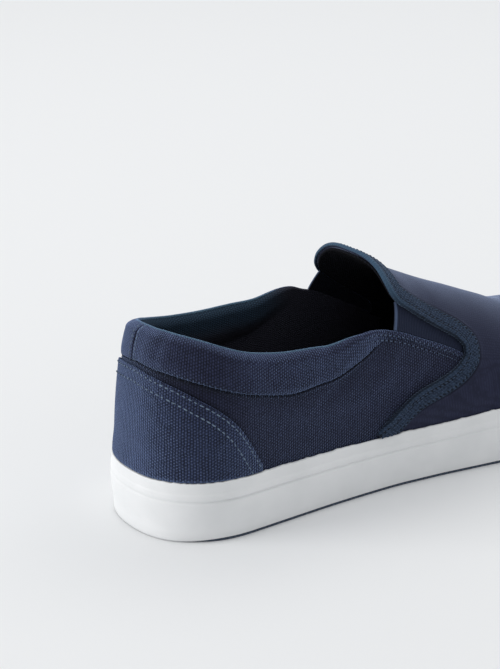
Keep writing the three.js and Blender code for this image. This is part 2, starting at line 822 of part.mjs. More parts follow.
// Both sides of the vamp share their points along the ridge and at the toe.
function vamp() {
  const body = new Body();
  const places = vampPlaces();
  const sheet = (side, out, shared) => places.map((row, j) => row.map(({ turn, rise }, i) => (
    shared && (j === VAMP_RIBS || i === VAMP_STEPS)
      ? shared[j][i]
      : body.add(onLast(turn, side, rise, out(turn, rise))))));
  const skinOut = (turn, rise) => vampOut(turn, heightAt(turn, rise));
  const liningOut = () => -VAMP_INNER;
  const outerSkin = sheet(OUTER, skinOut);
  const outerLining = sheet(OUTER, liningOut);
  const strip = (first, second, flip) => body.strip(flip ? second : first, flip ? first : second, false);
  const close = (skin, lining, flip) => {
    for (let j = 1; j <= VAMP_RIBS; j += 1) {
      strip(skin[j - 1], skin[j], flip);
      strip(lining[j - 1], lining[j], !flip);
    }
    strip(lining[0], skin[0], flip);
    strip(skin.map((row) => row[0]), lining.map((row) => row[0]), flip);
  };
  close(outerSkin, outerLining, false);
  close(sheet(INNER, skinOut, outerSkin), sheet(INNER, liningOut, outerLining), true);
  return body.geometry();
}

function upper() {
  return fromSolid(toSolid(quarters()).add(toSolid(vamp())));
}

// Trim

// Section of the counter's rounded top edge: up is a share of its height, through a share of its
// thickness.
const COUNTER_EDGE = [
  { up: 0.970, through: 1 },
  { up: 1.000, through: 0.5 },
  { up: 0.985, through: 0 },
];
const COUNTER_LAST_STEP = 0.6;
const COUNTER_SIDE_STEPS = 4;

function heelCounter() {
  const inside = SKIN_CLEAR;
  const outside = inside + COUNTER_THICKNESS;
  const step = QUARTER_FRONT_TURN / QUARTER_STEPS;
  const turns = [];
  for (let turn = 0; turn < COUNTER_FRONT_TURN - step / 2; turn += step) {
    turns.push(turn);
  }
  turns.push(mix(turns[turns.length - 1], COUNTER_FRONT_TURN, COUNTER_LAST_STEP));
  turns.push(COUNTER_FRONT_TURN);
  const profile = (turn) => {
    const foot = foxingTop(turn) + EDGE_CLEAR;
    const top = Math.max(counterHeight(turn) * COLLAR_HEIGHT, foot + COUNTER_THICKNESS);
    const heights = Array.from({ length: COUNTER_SIDE_STEPS }, (_, i) => (
      mix(foot, top, i / COUNTER_SIDE_STEPS)));
    return [
      ...heights.map((height) => ({ height, out: outside })),
      ...COUNTER_EDGE.map(({ up, through }) => (
        { height: mix(foot, top, up), out: mix(inside, outside, through) })),
      ...heights.reverse().map((height) => ({ height, out: inside })),
    ];
  };
  const stations = [
    ...turns.slice(1).reverse().map((turn) => ({ turn, side: INNER })),
    ...turns.map((turn) => ({ turn, side: OUTER })),
  ];
  const rows = stations.map(({ turn, side }) => profile(turn)
    .map(({ height, out }) => onLastAtHeight(turn, side, height, out)));
  const end = contourOf(profile(COUNTER_FRONT_TURN));
  return sweep(rows, end, end);
}

// Elastic gore between the quarter's top edge and the throat, on one side.
function gore(side) {
  const turnClear = EDGE_CLEAR / (Math.PI * LENGTH / 2);
  const corner = THROAT.reduce((a, b) => (b.turn > a.turn ? b : a));
  const rows = [];
  for (let i = 0; i <= GORE_STEPS; i += 1) {
    const share = GORE_TIP * i / GORE_STEPS;
    const lowTurn = mix(GORE_BACK_TURN, corner.turn, share);
    const lowHeight = topHeight(lowTurn, side) + EDGE_CLEAR;
    const highHeight = mix(GORE_TOP, corner.height, share) * INSTEP_HEIGHT;
    const highTurn = throatTurn(highHeight / INSTEP_HEIGHT) - 2 * turnClear;
    const line = [];
    for (let j = 0; j <= GORE_ROWS; j += 1) {
      const up = j / GORE_ROWS;
      line.push({ turn: mix(lowTurn, highTurn, up), height: mix(lowHeight, highHeight, up) });
    }
    const place = (out) => ({ turn, height }) => onLastAtHeight(turn, side, height, out);
    const outside = line.map(place(-GORE_DEPTH));
    const inside = line.map(place(-GORE_DEPTH - GORE_THICKNESS)).reverse();
    rows.push([...outside, ...inside]);
  }
  const flat = [];
  for (let j = 0; j <= GORE_ROWS; j += 1) {
    flat.push(new THREE.Vector2(j, 1));
  }
  for (let j = GORE_ROWS; j >= 0; j -= 1) {
    flat.push(new THREE.Vector2(j, 0));
  }
  return sweep(rows, flat, flat);
}

const EDGE_STEP = 0.03;

// A point that lies the distance ahead of a place on the throat edge, square to the edge.
function aheadOfThroat(place, distance, out) {
  const { turn, side, rise } = place;
  const { along, over } = lastSlopes(turn, side, rise);
  const low = Math.max(rise - EDGE_STEP, FEATHER_RISE);
  const high = Math.min(rise + EDGE_STEP, RIDGE_RISE);
  const edge = lastPoint(throatTurnAtRise(high), side, high)
    .sub(lastPoint(throatTurnAtRise(low), side, low));
  const ahead = lastNormal(turn, side, rise).cross(edge).normalize();
  if (ahead.dot(along) < 0) {
    ahead.negate();
  }
  const [aa, ab, bb] = [along.dot(along), along.dot(over), over.dot(over)];
  const [a, b] = [ahead.dot(along), ahead.dot(over)];
  const scale = distance / (aa * bb - ab * ab);
  const newTurn = turn + (a * bb - b * ab) * scale;
  const newRise = rise >= RIDGE_RISE ? rise : rise + (b * aa - a * ab) * scale;
  const lowRise = riseAt(newTurn, foxingTop(newTurn) + EDGE_CLEAR);
  return onLast(newTurn, side, clamp(newRise, lowRise, RIDGE_RISE), out);
}

const TAPE_SHOULDER = 0.9;

// Tape over the vamp's throat edge, with a lip that hangs over it.
function throatBinding() {
  const under = VAMP_RISE + BINDING_CLEAR;
  const over = under + BINDING_THICKNESS;
  const back = -(EDGE_CLEAR + BINDING_THICKNESS);
  const profile = [
    { ahead: -EDGE_CLEAR, out: EDGE_CLEAR },
    { ahead: -EDGE_CLEAR, out: under },
    { ahead: BINDING_WIDTH / 2, out: under },
    { ahead: BINDING_WIDTH, out: under },
    { ahead: BINDING_WIDTH, out: over - CLEAR },
    { ahead: BINDING_WIDTH * TAPE_SHOULDER, out: over },
    { ahead: BINDING_WIDTH / 2, out: over },
    { ahead: back / 2, out: over },
    { ahead: back, out: over - CLEAR },
    { ahead: back, out: EDGE_CLEAR },
  ];
  const lowTurn = throatTurn(FOXING_HEIGHT / INSTEP_HEIGHT);
  const lowRise = riseAt(lowTurn, foxingTop(lowTurn) + BINDING_THICKNESS + EDGE_CLEAR);
  const places = throatRises(FEATHER_RISE, RIDGE_RISE, VAMP_RIBS)
    .map((rise) => Math.max(rise, lowRise))
    .filter((rise, i, rises) => i === rises.length - 1 || rises[i + 1] > lowRise)
    .map((rise) => ({ rise, turn: throatTurnAtRise(rise) }));
  const stations = [
    ...places.map((place) => ({ ...place, side: OUTER })),
    ...places.slice(0, -1).reverse().map((place) => ({ ...place, side: INNER })),
  ];
  const rows = stations.map((place) => profile
    .map(({ ahead, out }) => aheadOfThroat(place, ahead, out)));
  const end = profile.map(({ ahead, out }) => new THREE.Vector2(ahead, out));
  return sweep(rows, end, end);
}

// Materials and the finished group

function material(color, roughness) {
  return new THREE.MeshStandardMaterial({ color, roughness, metalness: 0 });
}

function piece(name, geometry, look) {
  const mesh = new THREE.Mesh(geometry, look);
  mesh.name = name;
  return mesh;
}

const CANVAS = 0x2b3350;
const TAPE = 0x22364a;
const ELASTIC = 0x232a38;
const WHITE_RUBBER = 0xd9dadb;
const BLUE_RUBBER = 0x44506a;
const KNIT = 0x0d0f16;

const shoe = new THREE.Group();
shoe.add(
  piece('outsole', outsole(), material(BLUE_RUBBER, 0.8)),
  piece('foxing', foxing(), material(WHITE_RUBBER, 0.6)),
  piece('insole', insole(), material(KNIT, 0.95)),
  piece('upper', upper(), material(CANVAS, 0.9)),
  piece('heel_counter', heelCounter(), material(CANVAS, 0.9)),
  piece('gore_outer', gore(OUTER), material(ELASTIC, 0.85)),
  piece('gore_inner', gore(INNER), material(ELASTIC, 0.85)),
  piece('throat_binding', throatBinding(), material(TAPE, 0.9)),
);

export default shoe;
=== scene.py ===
import math
from functools import partialmethod

import bmesh
import bpy
import numpy as np
from mathutils import Matrix, Vector


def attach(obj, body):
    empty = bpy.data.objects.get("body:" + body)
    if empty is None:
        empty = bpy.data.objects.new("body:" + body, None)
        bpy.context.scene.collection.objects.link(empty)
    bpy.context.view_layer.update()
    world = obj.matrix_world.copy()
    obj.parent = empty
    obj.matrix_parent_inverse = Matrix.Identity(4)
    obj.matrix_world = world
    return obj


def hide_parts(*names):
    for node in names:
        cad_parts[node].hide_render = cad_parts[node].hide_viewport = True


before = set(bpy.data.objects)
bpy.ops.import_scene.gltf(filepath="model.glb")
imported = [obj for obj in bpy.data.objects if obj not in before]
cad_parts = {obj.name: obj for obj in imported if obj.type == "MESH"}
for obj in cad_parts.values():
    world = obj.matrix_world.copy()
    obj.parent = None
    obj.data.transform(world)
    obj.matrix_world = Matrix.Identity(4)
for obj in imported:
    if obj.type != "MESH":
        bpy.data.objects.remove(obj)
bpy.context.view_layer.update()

MM = 0.001
OUTER = 1
INNER = -1

# The shoe's own sizes, as in its solids. Only the outer quarter's peak is up to 2 mm higher, and
# the edge just ahead of it up to 0.5 mm lower.
LENGTH = 294
BALL_WIDTH = 104
HEEL_ROUND = 42
HEEL_POWER = 2.32
TOE_ROUND = 60
TOE_POWER = 2.3
TOE_SPRING = 7.5
COLLAR_HEIGHT = 90.3
INSTEP_HEIGHT = 104.5
FOXING_HEIGHT = 27.4
FOXING_FOOT = 1.3
FOXING_SHELF_WIDTH = 2.8
FOXING_BOTTOM_TUCK = 1.7
FOXING_GROOVE = 0.75
FOXING_LEDGE = 0.6
OUTSOLE_FLANGE = 1
SEAT_HEIGHT = 7.5
FEATHER_INSET = 2.1
CROWN_DROP = 3
QUARTER_WALL = 1.8
VAMP_INNER = 1.2
VAMP_RISE = 1
VAMP_RISE_AT_FOXING = 0.25
VAMP_RISE_RUN = 9
COLLAR_OUTER_BULGE = 0.8
COLLAR_INNER_BULGE = 5.1
COLLAR_SEAM_DEPTH = 0.7
COLLAR_SEAM_WIDTH = 1.6
QUARTER_FRONT_TURN = 0.536
COUNTER_THICKNESS = 0.7
COUNTER_FRONT_TURN = 0.254
BINDING_WIDTH = 7
BINDING_THICKNESS = 0.8
GORE_DEPTH = 0.4
GORE_THICKNESS = 1.1
GORE_TOP = 0.812
GORE_BACK_TURN = 0.438
INSOLE_THICKNESS = 4.5
INSOLE_CUP = 3
INSOLE_ARCH = 3
INSOLE_CUP_RUN = 11
CLEAR = 0.3
SKIN_CLEAR = 0.35
EDGE_CLEAR = 0.5
INSOLE_CLEAR = 0.8
TREAD_PITCH = 10
TREAD_GROOVE = 2.4
TREAD_DEPTH = 1.3
TREAD_MARGIN = 9
TREAD_HEEL_RUN = 14
TREAD_TOE_RUN = 22
TREAD_WALL = 0.5
TREAD_COLUMNS = 6

# Outline rows: share of the length, outer and inner half width as shares of half the ball width.
OUTLINE = [
    (0.00, 0.690, 0.748), (0.13, 0.697, 0.754), (0.25, 0.697, 0.745), (0.38, 0.722, 0.680),
    (0.47, 0.785, 0.645), (0.55, 0.868, 0.690), (0.63, 0.950, 0.825), (0.72, 1.000, 0.965),
    (0.78, 0.992, 1.000), (0.88, 0.900, 0.965), (1.00, 0.660, 0.860),
]
# Sole rows: share of the length, top as a share of the foxing height, spring as a share.
SOLE_SIDE = [
    (0.00, 1.000, 0.00), (0.15, 1.000, 0.00), (0.30, 0.971, 0.00), (0.45, 0.949, 0.00),
    (0.68, 1.055, 0.00), (0.80, 1.077, 0.16), (0.90, 1.115, 0.48), (1.00, 1.168, 1.00),
]
# Section rows: share of the length, spine place, shift across, fullness of the flank.
SECTIONS = [
    (0.00, 0.170, -0.014, 2.30), (0.08, 0.180, -0.014, 2.42), (0.16, 0.205, -0.014, 2.60),
    (0.26, 0.270, -0.014, 2.82), (0.36, 0.360, -0.014, 3.00), (0.40, 0.398, -0.014, 3.05),
    (0.50, 0.500, -0.014, 2.58), (0.70, 0.700, 0.000, 2.08), (0.80, 0.780, -0.018, 2.08),
    (0.88, 0.825, -0.035, 2.12), (0.95, 0.850, -0.050, 2.20), (1.00, 0.858, -0.058, 2.25),
]
# Ridge rows: share of the length, height as a share of the instep height.
RIDGE = [
    (0.16, 1.250), (0.25, 1.200), (0.33, 1.100), (0.39, 0.987), (0.43, 0.922), (0.47, 0.853),
    (0.515, 0.792), (0.56, 0.735), (0.61, 0.678), (0.65, 0.630), (0.69, 0.582), (0.74, 0.516),
    (0.80, 0.462), (0.86, 0.440), (0.90, 0.433),
]
# Top line rows: turn, outer and inner height as shares of the collar height at the collar and of
# the instep height ahead of it, band height as a share of the collar height, share of the padding.
TOPLINE = [
    (0.000, 0.996, 0.996, 0.170, 1.0), (0.050, 1.000, 0.984, 0.179, 1.0),
    (0.100, 0.992, 0.960, 0.184, 1.0), (0.150, 0.970, 0.931, 0.192, 1.0),
    (0.190, 0.938, 0.903, 0.195, 1.0), (0.250, 0.878, 0.868, 0.195, 1.0),
    (0.300, 0.840, 0.853, 0.199, 1.0), (0.350, 0.8184, 0.848, 0.168, 0.9),
    (0.377, 0.7922, 0.8189, 0.146, 0.75), (0.400, 0.7568, 0.7901, 0.113, 0.45),
    (0.416, 0.7330, 0.7628, 0.070, 0.15), (0.430, 0.7120, 0.7310, 0.044, 0.0),
    (0.445, 0.6909, 0.7120, 0.035, 0.0), (0.469, 0.6433, 0.6610, 0.035, 0.0),
    (0.493, 0.5945, 0.6014, 0.035, 0.0), (0.511, 0.5530, 0.5556, 0.035, 0.0),
    (0.519, 0.5288, 0.5288, 0.035, 0.0), (0.540, 0.4839, 0.4839, 0.035, 0.0),
]
INSTEP_TURNS = (0.35, 0.43)
# Throat rows: height as a share of the instep height, turn.
THROAT = [
    (0.070, 0.385), (0.250, 0.411), (0.292, 0.421), (0.351, 0.439), (0.412, 0.462),
    (0.444, 0.486), (0.466, 0.500), (0.500, 0.513), (0.528, 0.519), (0.557, 0.520),
    (0.604, 0.513), (0.657, 0.496), (0.726, 0.473), (0.782, 0.456), (0.814, 0.447),
    (0.852, 0.442), (0.900, 0.440), (1.000, 0.440),
]
# Groove rows: turn, depth of the foxing's groove.
GROOVE = [(0.00, 0.10), (0.10, 0.18), (0.22, 0.60), (0.36, 0.45), (0.47, 0.30), (0.57, 0.14), (1.00, 0.10)]
# Counter rows: turn, height as a share of the collar height.
COUNTER = [
    (0.000, 0.806), (0.044, 0.793), (0.079, 0.777), (0.111, 0.753), (0.149, 0.708),
    (0.184, 0.650), (0.218, 0.554), (0.234, 0.477), (0.247, 0.396), (0.257, 0.330),
]


def smooth(value):
    share = np.clip(value, 0, 1)
    return share * share * (3 - 2 * share)


def mix(low, high, share):
    return low + (high - low) * share


def between(value, limits):
    """0 up to the first limit, 1 past the second, eased between."""
    return smooth((value - limits[0]) / (limits[1] - limits[0]))


def bell(value, width):
    """A soft hump, 1 at value 0 and gone past the width."""
    return np.exp(-(value / width) ** 2)


def tangents(gap, slope):
    """Slopes at the points of a path that never overshoots, from its spans and their slopes."""
    before = 2 * gap[1:] + gap[:-1]
    after = gap[1:] + 2 * gap[:-1]
    goes_on = slope[:-1] * slope[1:] > 0
    first = np.where(goes_on, slope[:-1], 1)
    second = np.where(goes_on, slope[1:], 1)
    middle = np.where(goes_on, (before + after) / (before / first + after / second), 0)
    return np.concatenate([slope[:1], middle, slope[-1:]])


def along_span(t, gap, start, end, leaving, arriving):
    """The place at share t of a span, from its ends and the slopes there."""
    t2 = t * t
    t3 = t2 * t
    return ((2 * t3 - 3 * t2 + 1) * start + (t3 - 2 * t2 + t) * gap * leaving
            + (3 * t2 - 2 * t3) * end + (t3 - t2) * gap * arriving)


def curve(rows, column):
    """Smooth curve through a table's column that never overshoots its rows."""
    x = np.array([row[0] for row in rows], float)
    y = np.array([row[column] for row in rows], float)
    gap = np.diff(x)
    tangent = tangents(gap, np.diff(y) / gap)

    def at(value):
        place = np.clip(value, x[0], x[-1])
        i = np.clip(np.searchsorted(x, place) - 1, 0, len(gap) - 1)
        return along_span((place - x[i]) / gap[i], gap[i], y[i], y[i + 1], tangent[i], tangent[i + 1])

    return at


outline_outer, outline_inner = (curve(OUTLINE, column) for column in (1, 2))
sole_top, sole_spring = (curve(SOLE_SIDE, column) for column in (1, 2))
section_spine, section_shift, section_full = (curve(SECTIONS, column) for column in (1, 2, 3))
ridge_height = curve(RIDGE, 1)
top_outer, top_inner, top_band, top_pad = (curve(TOPLINE, column) for column in (1, 2, 3, 4))
throat_turn = curve(THROAT, 1)
counter_height = curve(COUNTER, 1)
groove_depth = curve(GROOVE, 1)

# The last: turn runs from heel to toe on each side, rise from the feather edge to the ridge.
RIDGE_RISE = math.pi / 2
FEATHER_RISE = -0.25
TURN_NUDGE = 2e-4
SLOPE_STEP = 1e-3


def length_share(turn):
    return (1 - np.cos(np.pi * turn)) / 2


def rounding(share):
    from_heel = np.clip(share * LENGTH / HEEL_ROUND, 0, 1)
    from_toe = np.clip((1 - share) * LENGTH / TOE_ROUND, 0, 1)
    heel = (1 - (1 - from_heel) ** HEEL_POWER) ** (1 / HEEL_POWER)
    toe = (1 - (1 - from_toe) ** TOE_POWER) ** (1 / TOE_POWER)
    return heel * toe


def outline_point(turn, side):
    share = length_share(turn)
    outer = outline_outer(share) * BALL_WIDTH / 2
    inner = outline_inner(share) * BALL_WIDTH / 2
    x = (outer - inner) / 2 + side * (outer + inner) / 2 * rounding(share)
    return np.stack(np.broadcast_arrays(x, (share - 0.5) * LENGTH), axis=-1)


def unit(vectors):
    return vectors / np.linalg.norm(vectors, axis=-1, keepdims=True)


def spread(*values):
    """The values as arrays of one shape."""
    return np.broadcast_arrays(*(np.asarray(value, float) for value in values))


def outline(turn, side, out):
    """A point of the outline, moved out square to it."""
    turn, side, out = spread(turn, side, out)
    point = outline_point(turn, side)
    near = np.clip(turn, TURN_NUDGE, 1 - TURN_NUDGE)
    along = unit(outline_point(near + TURN_NUDGE, side) - outline_point(near - TURN_NUDGE, side))
    square = np.stack([along[..., 1] * side, -along[..., 0] * side], axis=-1)
    square[turn <= 0] = (0, -1)
    square[turn >= 1] = (0, 1)
    return point + square * out[..., None]


def spring_at(turn):
    return sole_spring(length_share(turn)) * TOE_SPRING


def foxing_top(turn):
    return sole_top(length_share(turn)) * FOXING_HEIGHT


def section(turn):
    at = length_share(turn)
    spine = section_spine(at)
    return {
        "foot": SEAT_HEIGHT + CLEAR + spring_at(turn),
        "crown": foxing_top(turn) - CROWN_DROP,
        "ridge": ridge_height(spine) * INSTEP_HEIGHT,
        "full": section_full(at),
        "spine_x": section_shift(at) * BALL_WIDTH,
        "spine_y": (spine - 0.5) * LENGTH,
    }


def rise_at(turn, height):
    cut = section(turn)
    low = FEATHER_RISE * np.clip((cut["crown"] - height) / (cut["crown"] - cut["foot"]), 0, 1)
    share = np.clip((height - cut["crown"]) / (cut["ridge"] - cut["crown"]), 0, 1)
    return np.where(height < cut["crown"], low, np.arcsin(share ** (cut["full"] / 2)))


def height_at(turn, rise):
    cut = section(turn)
    low = mix(cut["crown"], cut["foot"], rise / FEATHER_RISE)
    high = mix(cut["crown"], cut["ridge"], np.clip(np.sin(rise), 0, 1) ** (2 / cut["full"]))
    return np.where(rise < 0, low, high)


def last_point(turn, side, rise):
    cut = section(turn)
    base = outline(turn, side, -FEATHER_INSET)
    lean = np.where(rise > 0, 1 - np.clip(np.cos(rise), 0, 1) ** (2 / cut["full"]), 0)
    return np.stack(np.broadcast_arrays(
        mix(base[..., 0], cut["spine_x"], lean),
        mix(base[..., 1], cut["spine_y"], lean),
        height_at(turn, rise)), axis=-1)


def last_slopes(turn, side, rise):
    low = np.clip(turn - SLOPE_STEP, 0, 1)
    high = np.clip(turn + SLOPE_STEP, 0, 1)
    down = np.clip(rise - SLOPE_STEP, FEATHER_RISE, RIDGE_RISE)
    up = np.clip(rise + SLOPE_STEP, FEATHER_RISE, RIDGE_RISE)
    along = (last_point(high, side, rise) - last_point(low, side, rise)) / (high - low)[..., None]
    over = (last_point(turn, side, up) - last_point(turn, side, down)) / (up - down)[..., None]
    return along, over


def side_normal(turn, side, rise):
    along, over = last_slopes(turn, side, rise)
    return unit(np.cross(along, over) * np.asarray(side)[..., None])


def last_normal(turn, side, rise):
    normal = side_normal(turn, side, rise)
    shared = (rise >= RIDGE_RISE) | (turn <= 0) | (turn >= 1)
    other = side_normal(turn, -side, rise)
    return unit(normal + np.where(shared[..., None], other, 0))


def on_last(turn, side, rise, out):
    """A point at the distance out from the last, measured square to it."""
    turn, side, rise, out = spread(turn, side, rise, out)
    return last_point(turn, side, rise) + last_normal(turn, side, rise) * out[..., None]


def on_last_at_height(turn, side, height, out):
    return on_last(turn, side, rise_at(turn, height), out)


def distance_to(points, line):
    """Distance of each point from a line of points."""
    start = line[:-1]
    step = np.diff(line, axis=0)
    size = np.sum(step ** 2, axis=-1)
    nearest = np.full(points.shape[:-1], np.inf)
    for at, along, square in zip(start, step, size):
        share = np.clip(np.sum((points - at) * along, axis=-1) / square, 0, 1)
        gap = np.linalg.norm(points - at - share[..., None] * along, axis=-1)
        nearest = np.minimum(nearest, gap)
    return nearest


# Distances along the foot of the last, from the heel's middle to the toe's
RUN_TURNS = np.linspace(0, 1, 2001)


def run_along(line):
    """Distance along a line of points, from its first."""
    return np.concatenate([[0], np.cumsum(np.linalg.norm(np.diff(line, axis=0), axis=-1))])


RUNS = {side: run_along(outline(RUN_TURNS, side, -FEATHER_INSET)) for side in (OUTER, INNER)}


def run_at(turn, side):
    outer, inner = (np.interp(turn, RUN_TURNS, RUNS[one]) for one in (OUTER, INNER))
    return np.where(np.asarray(side) > 0, outer, inner)


def signed_run(turn, side):
    """The distance from the heel's middle, below 0 on the inner side."""
    return run_at(turn, side) * side


def turn_at(run, side):
    return np.interp(run, RUNS[side], RUN_TURNS)


# Meshes

def refine(points, pieces):
    """Subdivides rows of control points: a smooth path through them that never overshoots.

    points is control x station x coordinate; pieces gives the steps of each span."""
    gap = np.linalg.norm(np.diff(points, axis=0), axis=-1)[..., None] + 1e-9
    tangent = tangents(gap, np.diff(points, axis=0) / gap)
    rows = [along_span(t, gap[i], points[i], points[i + 1], tangent[i], tangent[i + 1])
            for i, count in enumerate(pieces) for t in np.arange(count) / count]
    return np.array(rows + [points[-1]])


def grid_faces(index):
    """Quads of a grid of vertex numbers."""
    corners = [index[:-1, :-1], index[1:, :-1], index[1:, 1:], index[:-1, 1:]]
    return np.stack(corners, axis=-1).reshape(-1, 4)


def into_scene(obj):
    bpy.context.scene.collection.objects.link(obj)
    return obj


def make_mesh(name, points, quads, uv, marks=None, join=0.0):
    """A mesh object from points in millimetres; marks are named values of its points."""
    mesh = bpy.data.meshes.new(name)
    mesh.from_pydata((points.reshape(-1, 3) * MM).tolist(), [], quads.tolist())
    mesh.validate()
    layer = mesh.uv_layers.new(name="cloth")
    corners = np.empty(len(mesh.loops), int)
    mesh.loops.foreach_get("vertex_index", corners)
    layer.data.foreach_set("uv", (uv.reshape(-1, 2)[corners] * MM).ravel())
    for mark, values in (marks or {}).items():
        attribute = mesh.attributes.new(mark, "FLOAT", "POINT")
        attribute.data.foreach_set("value", np.asarray(values, np.float32).ravel())
    body = bmesh.new()
    body.from_mesh(mesh)
    if join:
        bmesh.ops.remove_doubles(body, verts=body.verts, dist=join * MM)
    bmesh.ops.recalc_face_normals(body, faces=body.faces)
    for face in body.faces:
        face.smooth = True
    body.to_mesh(mesh)
    body.free()
    return into_scene(bpy.data.objects.new(name, mesh))


def ring_of(index):
    """The border of a grid of vertex numbers, as one loop."""
    return np.concatenate([index[0, :-1], index[:-1, -1], index[-1, :0:-1], index[:0:-1, 0]])


def shell(name, front, back, uv, marks=None):
    """A closed shell between two grids of points; its mark "inside" is 1 on the back."""
    count = front.shape[0] * front.shape[1]
    face = np.arange(count).reshape(front.shape[:2])
    rim = ring_of(face)
    walls = np.stack([rim, np.roll(rim, -1), np.roll(rim, -1) + count, rim + count], axis=-1)
    quads = np.concatenate([grid_faces(face), grid_faces(face + count)[:, ::-1], walls[:, ::-1]])
    marks = {mark: np.stack([value, value]) for mark, value in (marks or {}).items()}
    marks["inside"] = np.repeat([0.0, 1.0], count)
    return make_mesh(name, np.stack([front, back]), quads, np.stack([uv, uv]), marks)


def dress(obj, look, slot, *nodes):
    obj.data.materials.clear()
    obj.data.materials.append(look)
    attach(obj, "root")
    if nodes:
        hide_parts(*nodes)
    return obj


def path_lengths(points):
    """Distance along each column of a grid, from its first row."""
    steps = np.linalg.norm(np.diff(points, axis=0), axis=-1)
    return np.concatenate([np.zeros((1, points.shape[1])), np.cumsum(steps, axis=0)])


# Quarters, collar and lining

QUARTER_STATIONS = 560
LINING_STATIONS = 360
COUNTER_STATIONS = 300
CLOTH = 0.9
LINING_CLOTH = 0.75
# Where the cloth over the collar's crest meets the lining: share of the way across, share of the lip
LINING_START = 0.56
LINING_DROP = 0.15
# Height of the crest's rounding and of its lip, without and with the padding
ROLL = (0.5, 3.6)
LIP = (0.15, 1.1)
# How much of the outer bulge is left at the shoulder
SHOULDER = 0.8
# Steps of each span, from the section's first row
QUARTER_STEPS = (4, 16, 20, 8)
COLLAR_STEPS = (6, 10, 12, 7, 6, 4)
LINING_STEPS = (4, 5, 8, 6, 5, 10, 4, 2)
COUNTER_STEPS = (16, 16, 4, 4)


def signed_stations(reach, count):
    """Turns and sides of stations from the inner front round the heel to the outer front."""
    signed = np.linspace(-reach, reach, count)
    return np.abs(signed), np.where(signed < 0, INNER, OUTER)


def top_height(turn, side):
    ahead = between(turn, INSTEP_TURNS)
    share = np.where(np.asarray(side) > 0, top_outer(turn), top_inner(turn))
    return share * mix(COLLAR_HEIGHT, INSTEP_HEIGHT, ahead)


def quarter_lines(turn, side):
    """The heights and distances out that the quarter's sections share at each station."""
    top = top_height(turn, side)
    seam = top - top_band(turn) * COLLAR_HEIGHT
    pad = top_pad(turn)
    return {
        "top": top,
        "seam": seam,
        "shoulder": np.maximum(top - mix(*ROLL, pad), mix(seam, top, 0.5)),
        "pad": pad,
        "foot": section(turn)["foot"],
        "fox": foxing_top(turn),
        "bulge": COLLAR_OUTER_BULGE * pad,
        "lining": -QUARTER_WALL - COLLAR_INNER_BULGE * pad,
        "lip": mix(*LIP, pad),
        "groove": COLLAR_SEAM_WIDTH / 2,
    }


# Soft creases and swells, given one by one: run from the heel's middle (inner side negative), height,
# slant in degrees up towards the toe, half length, half width, lift off the last.
COLLAR_CREASES = [
    (94, 65.5, -9, 27, 3.4, -0.5), (88, 59.8, -8, 24, 1.9, 0.3), (30, 80, -12, 14, 3.2, -0.3),
    (14, 84, 70, 9, 2.6, -0.35), (52, 71, -35, 11, 3.0, -0.28), (66, 76, -18, 12, 2.2, 0.25),
    (-22, 80, 75, 9, 3.0, -0.35), (-60, 72, 20, 14, 3.2, -0.3), (-96, 66, 8, 24, 3.4, -0.4),
    (112, 66, 28, 9, 2.4, 0.3), (-112, 68, -24, 9, 2.4, 0.3), (5, 76, 85, 8, 2.0, 0.2),
]
QUARTER_CREASES = [
    (134, 60, 62, 13, 6.0, 0.45), (126, 42, 8, 26, 6.5, -0.4), (84, 50, -14, 22, 6.0, 0.3),
    (70, 46, -30, 16, 3.6, -0.3), (106, 55, 30, 14, 3.2, -0.25), (152, 50, 40, 9, 3.4, -0.3),
    (-134, 60, 62, 13, 6.0, 0.4), (-120, 44, 6, 26, 6.5, -0.35), (-82, 50, -14, 22, 6.0, 0.3),
    (-68, 44, 24, 15, 3.6, -0.3), (-104, 56, -30, 14, 3.2, -0.25),
]
COUNTER_CREASES = [
    (22, 52, 78, 16, 5.0, -0.22), (44, 46, 62, 13, 4.0, 0.2), (8, 60, 84, 12, 4.0, 0.18),
    (-20, 54, 82, 15, 5.0, -0.2), (-42, 46, 66, 13, 4.0, 0.18),
]
VAMP_CREASES = [
    (212, 41, -40, 26, 7.0, -0.25), (222, 34, -36, 24, 6.0, 0.2), (238, 33, -30, 22, 6.0, -0.25),
    (-210, 42, -40, 26, 7.0, -0.25), (-196, 42, -60, 16, 6.0, 0.2), (-232, 34, -32, 22, 6.0, -0.25),
]
SEAM_VALLEY = 0.4
SEAM_VALLEY_WIDTH = 4.6
SEAM_SHADE = (2.1, 1.5)
SEAM_SHADE_FADE = (50, 95)
SEAM_SHADE_AHEAD = 0.45
SEAM_SOFT_SHADE = 0.36
SEAM_SOFT_WIDTH = 8
FOOT_SHADE = 0.3
FOOT_SHADE_RUN = 24
FOOT_SHADE_START = (25, 60)
COUNTER_SHADE = 0.5
COUNTER_SHADE_WIDTH = 1.6
HEEL_DRAW = -0.9
HEEL_DRAW_RUN = -20
HEEL_DRAW_WIDTH = 34
# Heights above the foxing over which the cloth comes free of it, and from the counter's top down
HEEL_DRAW_REACH = 12
QUARTER_REACH = 6
COUNTER_REACH = 8
COUNTER_TOP_REACH = 6
VAMP_REACH = 8
# Height over which the cloth comes free of the collar's seam
SEAM_REACH = 2


def creases(rows, turn, side, height):
    run = signed_run(turn, side)
    lift = 0
    for at_run, at_height, slant, length, width, depth in rows:
        ahead = math.cos(math.radians(slant))
        climb = math.sin(math.radians(slant))
        forward = (run - at_run) * np.sign(at_run)
        up = height - at_height
        lift = lift + (depth * bell(forward * ahead + up * climb, length)
                       * bell(up * ahead - forward * climb, width))
    return lift


def profile_of(rows):
    """Control rows of (height, out) as one array: control x station x 2."""
    width = max(np.size(value) for row in rows for value in row)
    return np.stack([np.stack([np.broadcast_to(value, width) for value in row], axis=-1) for row in rows])


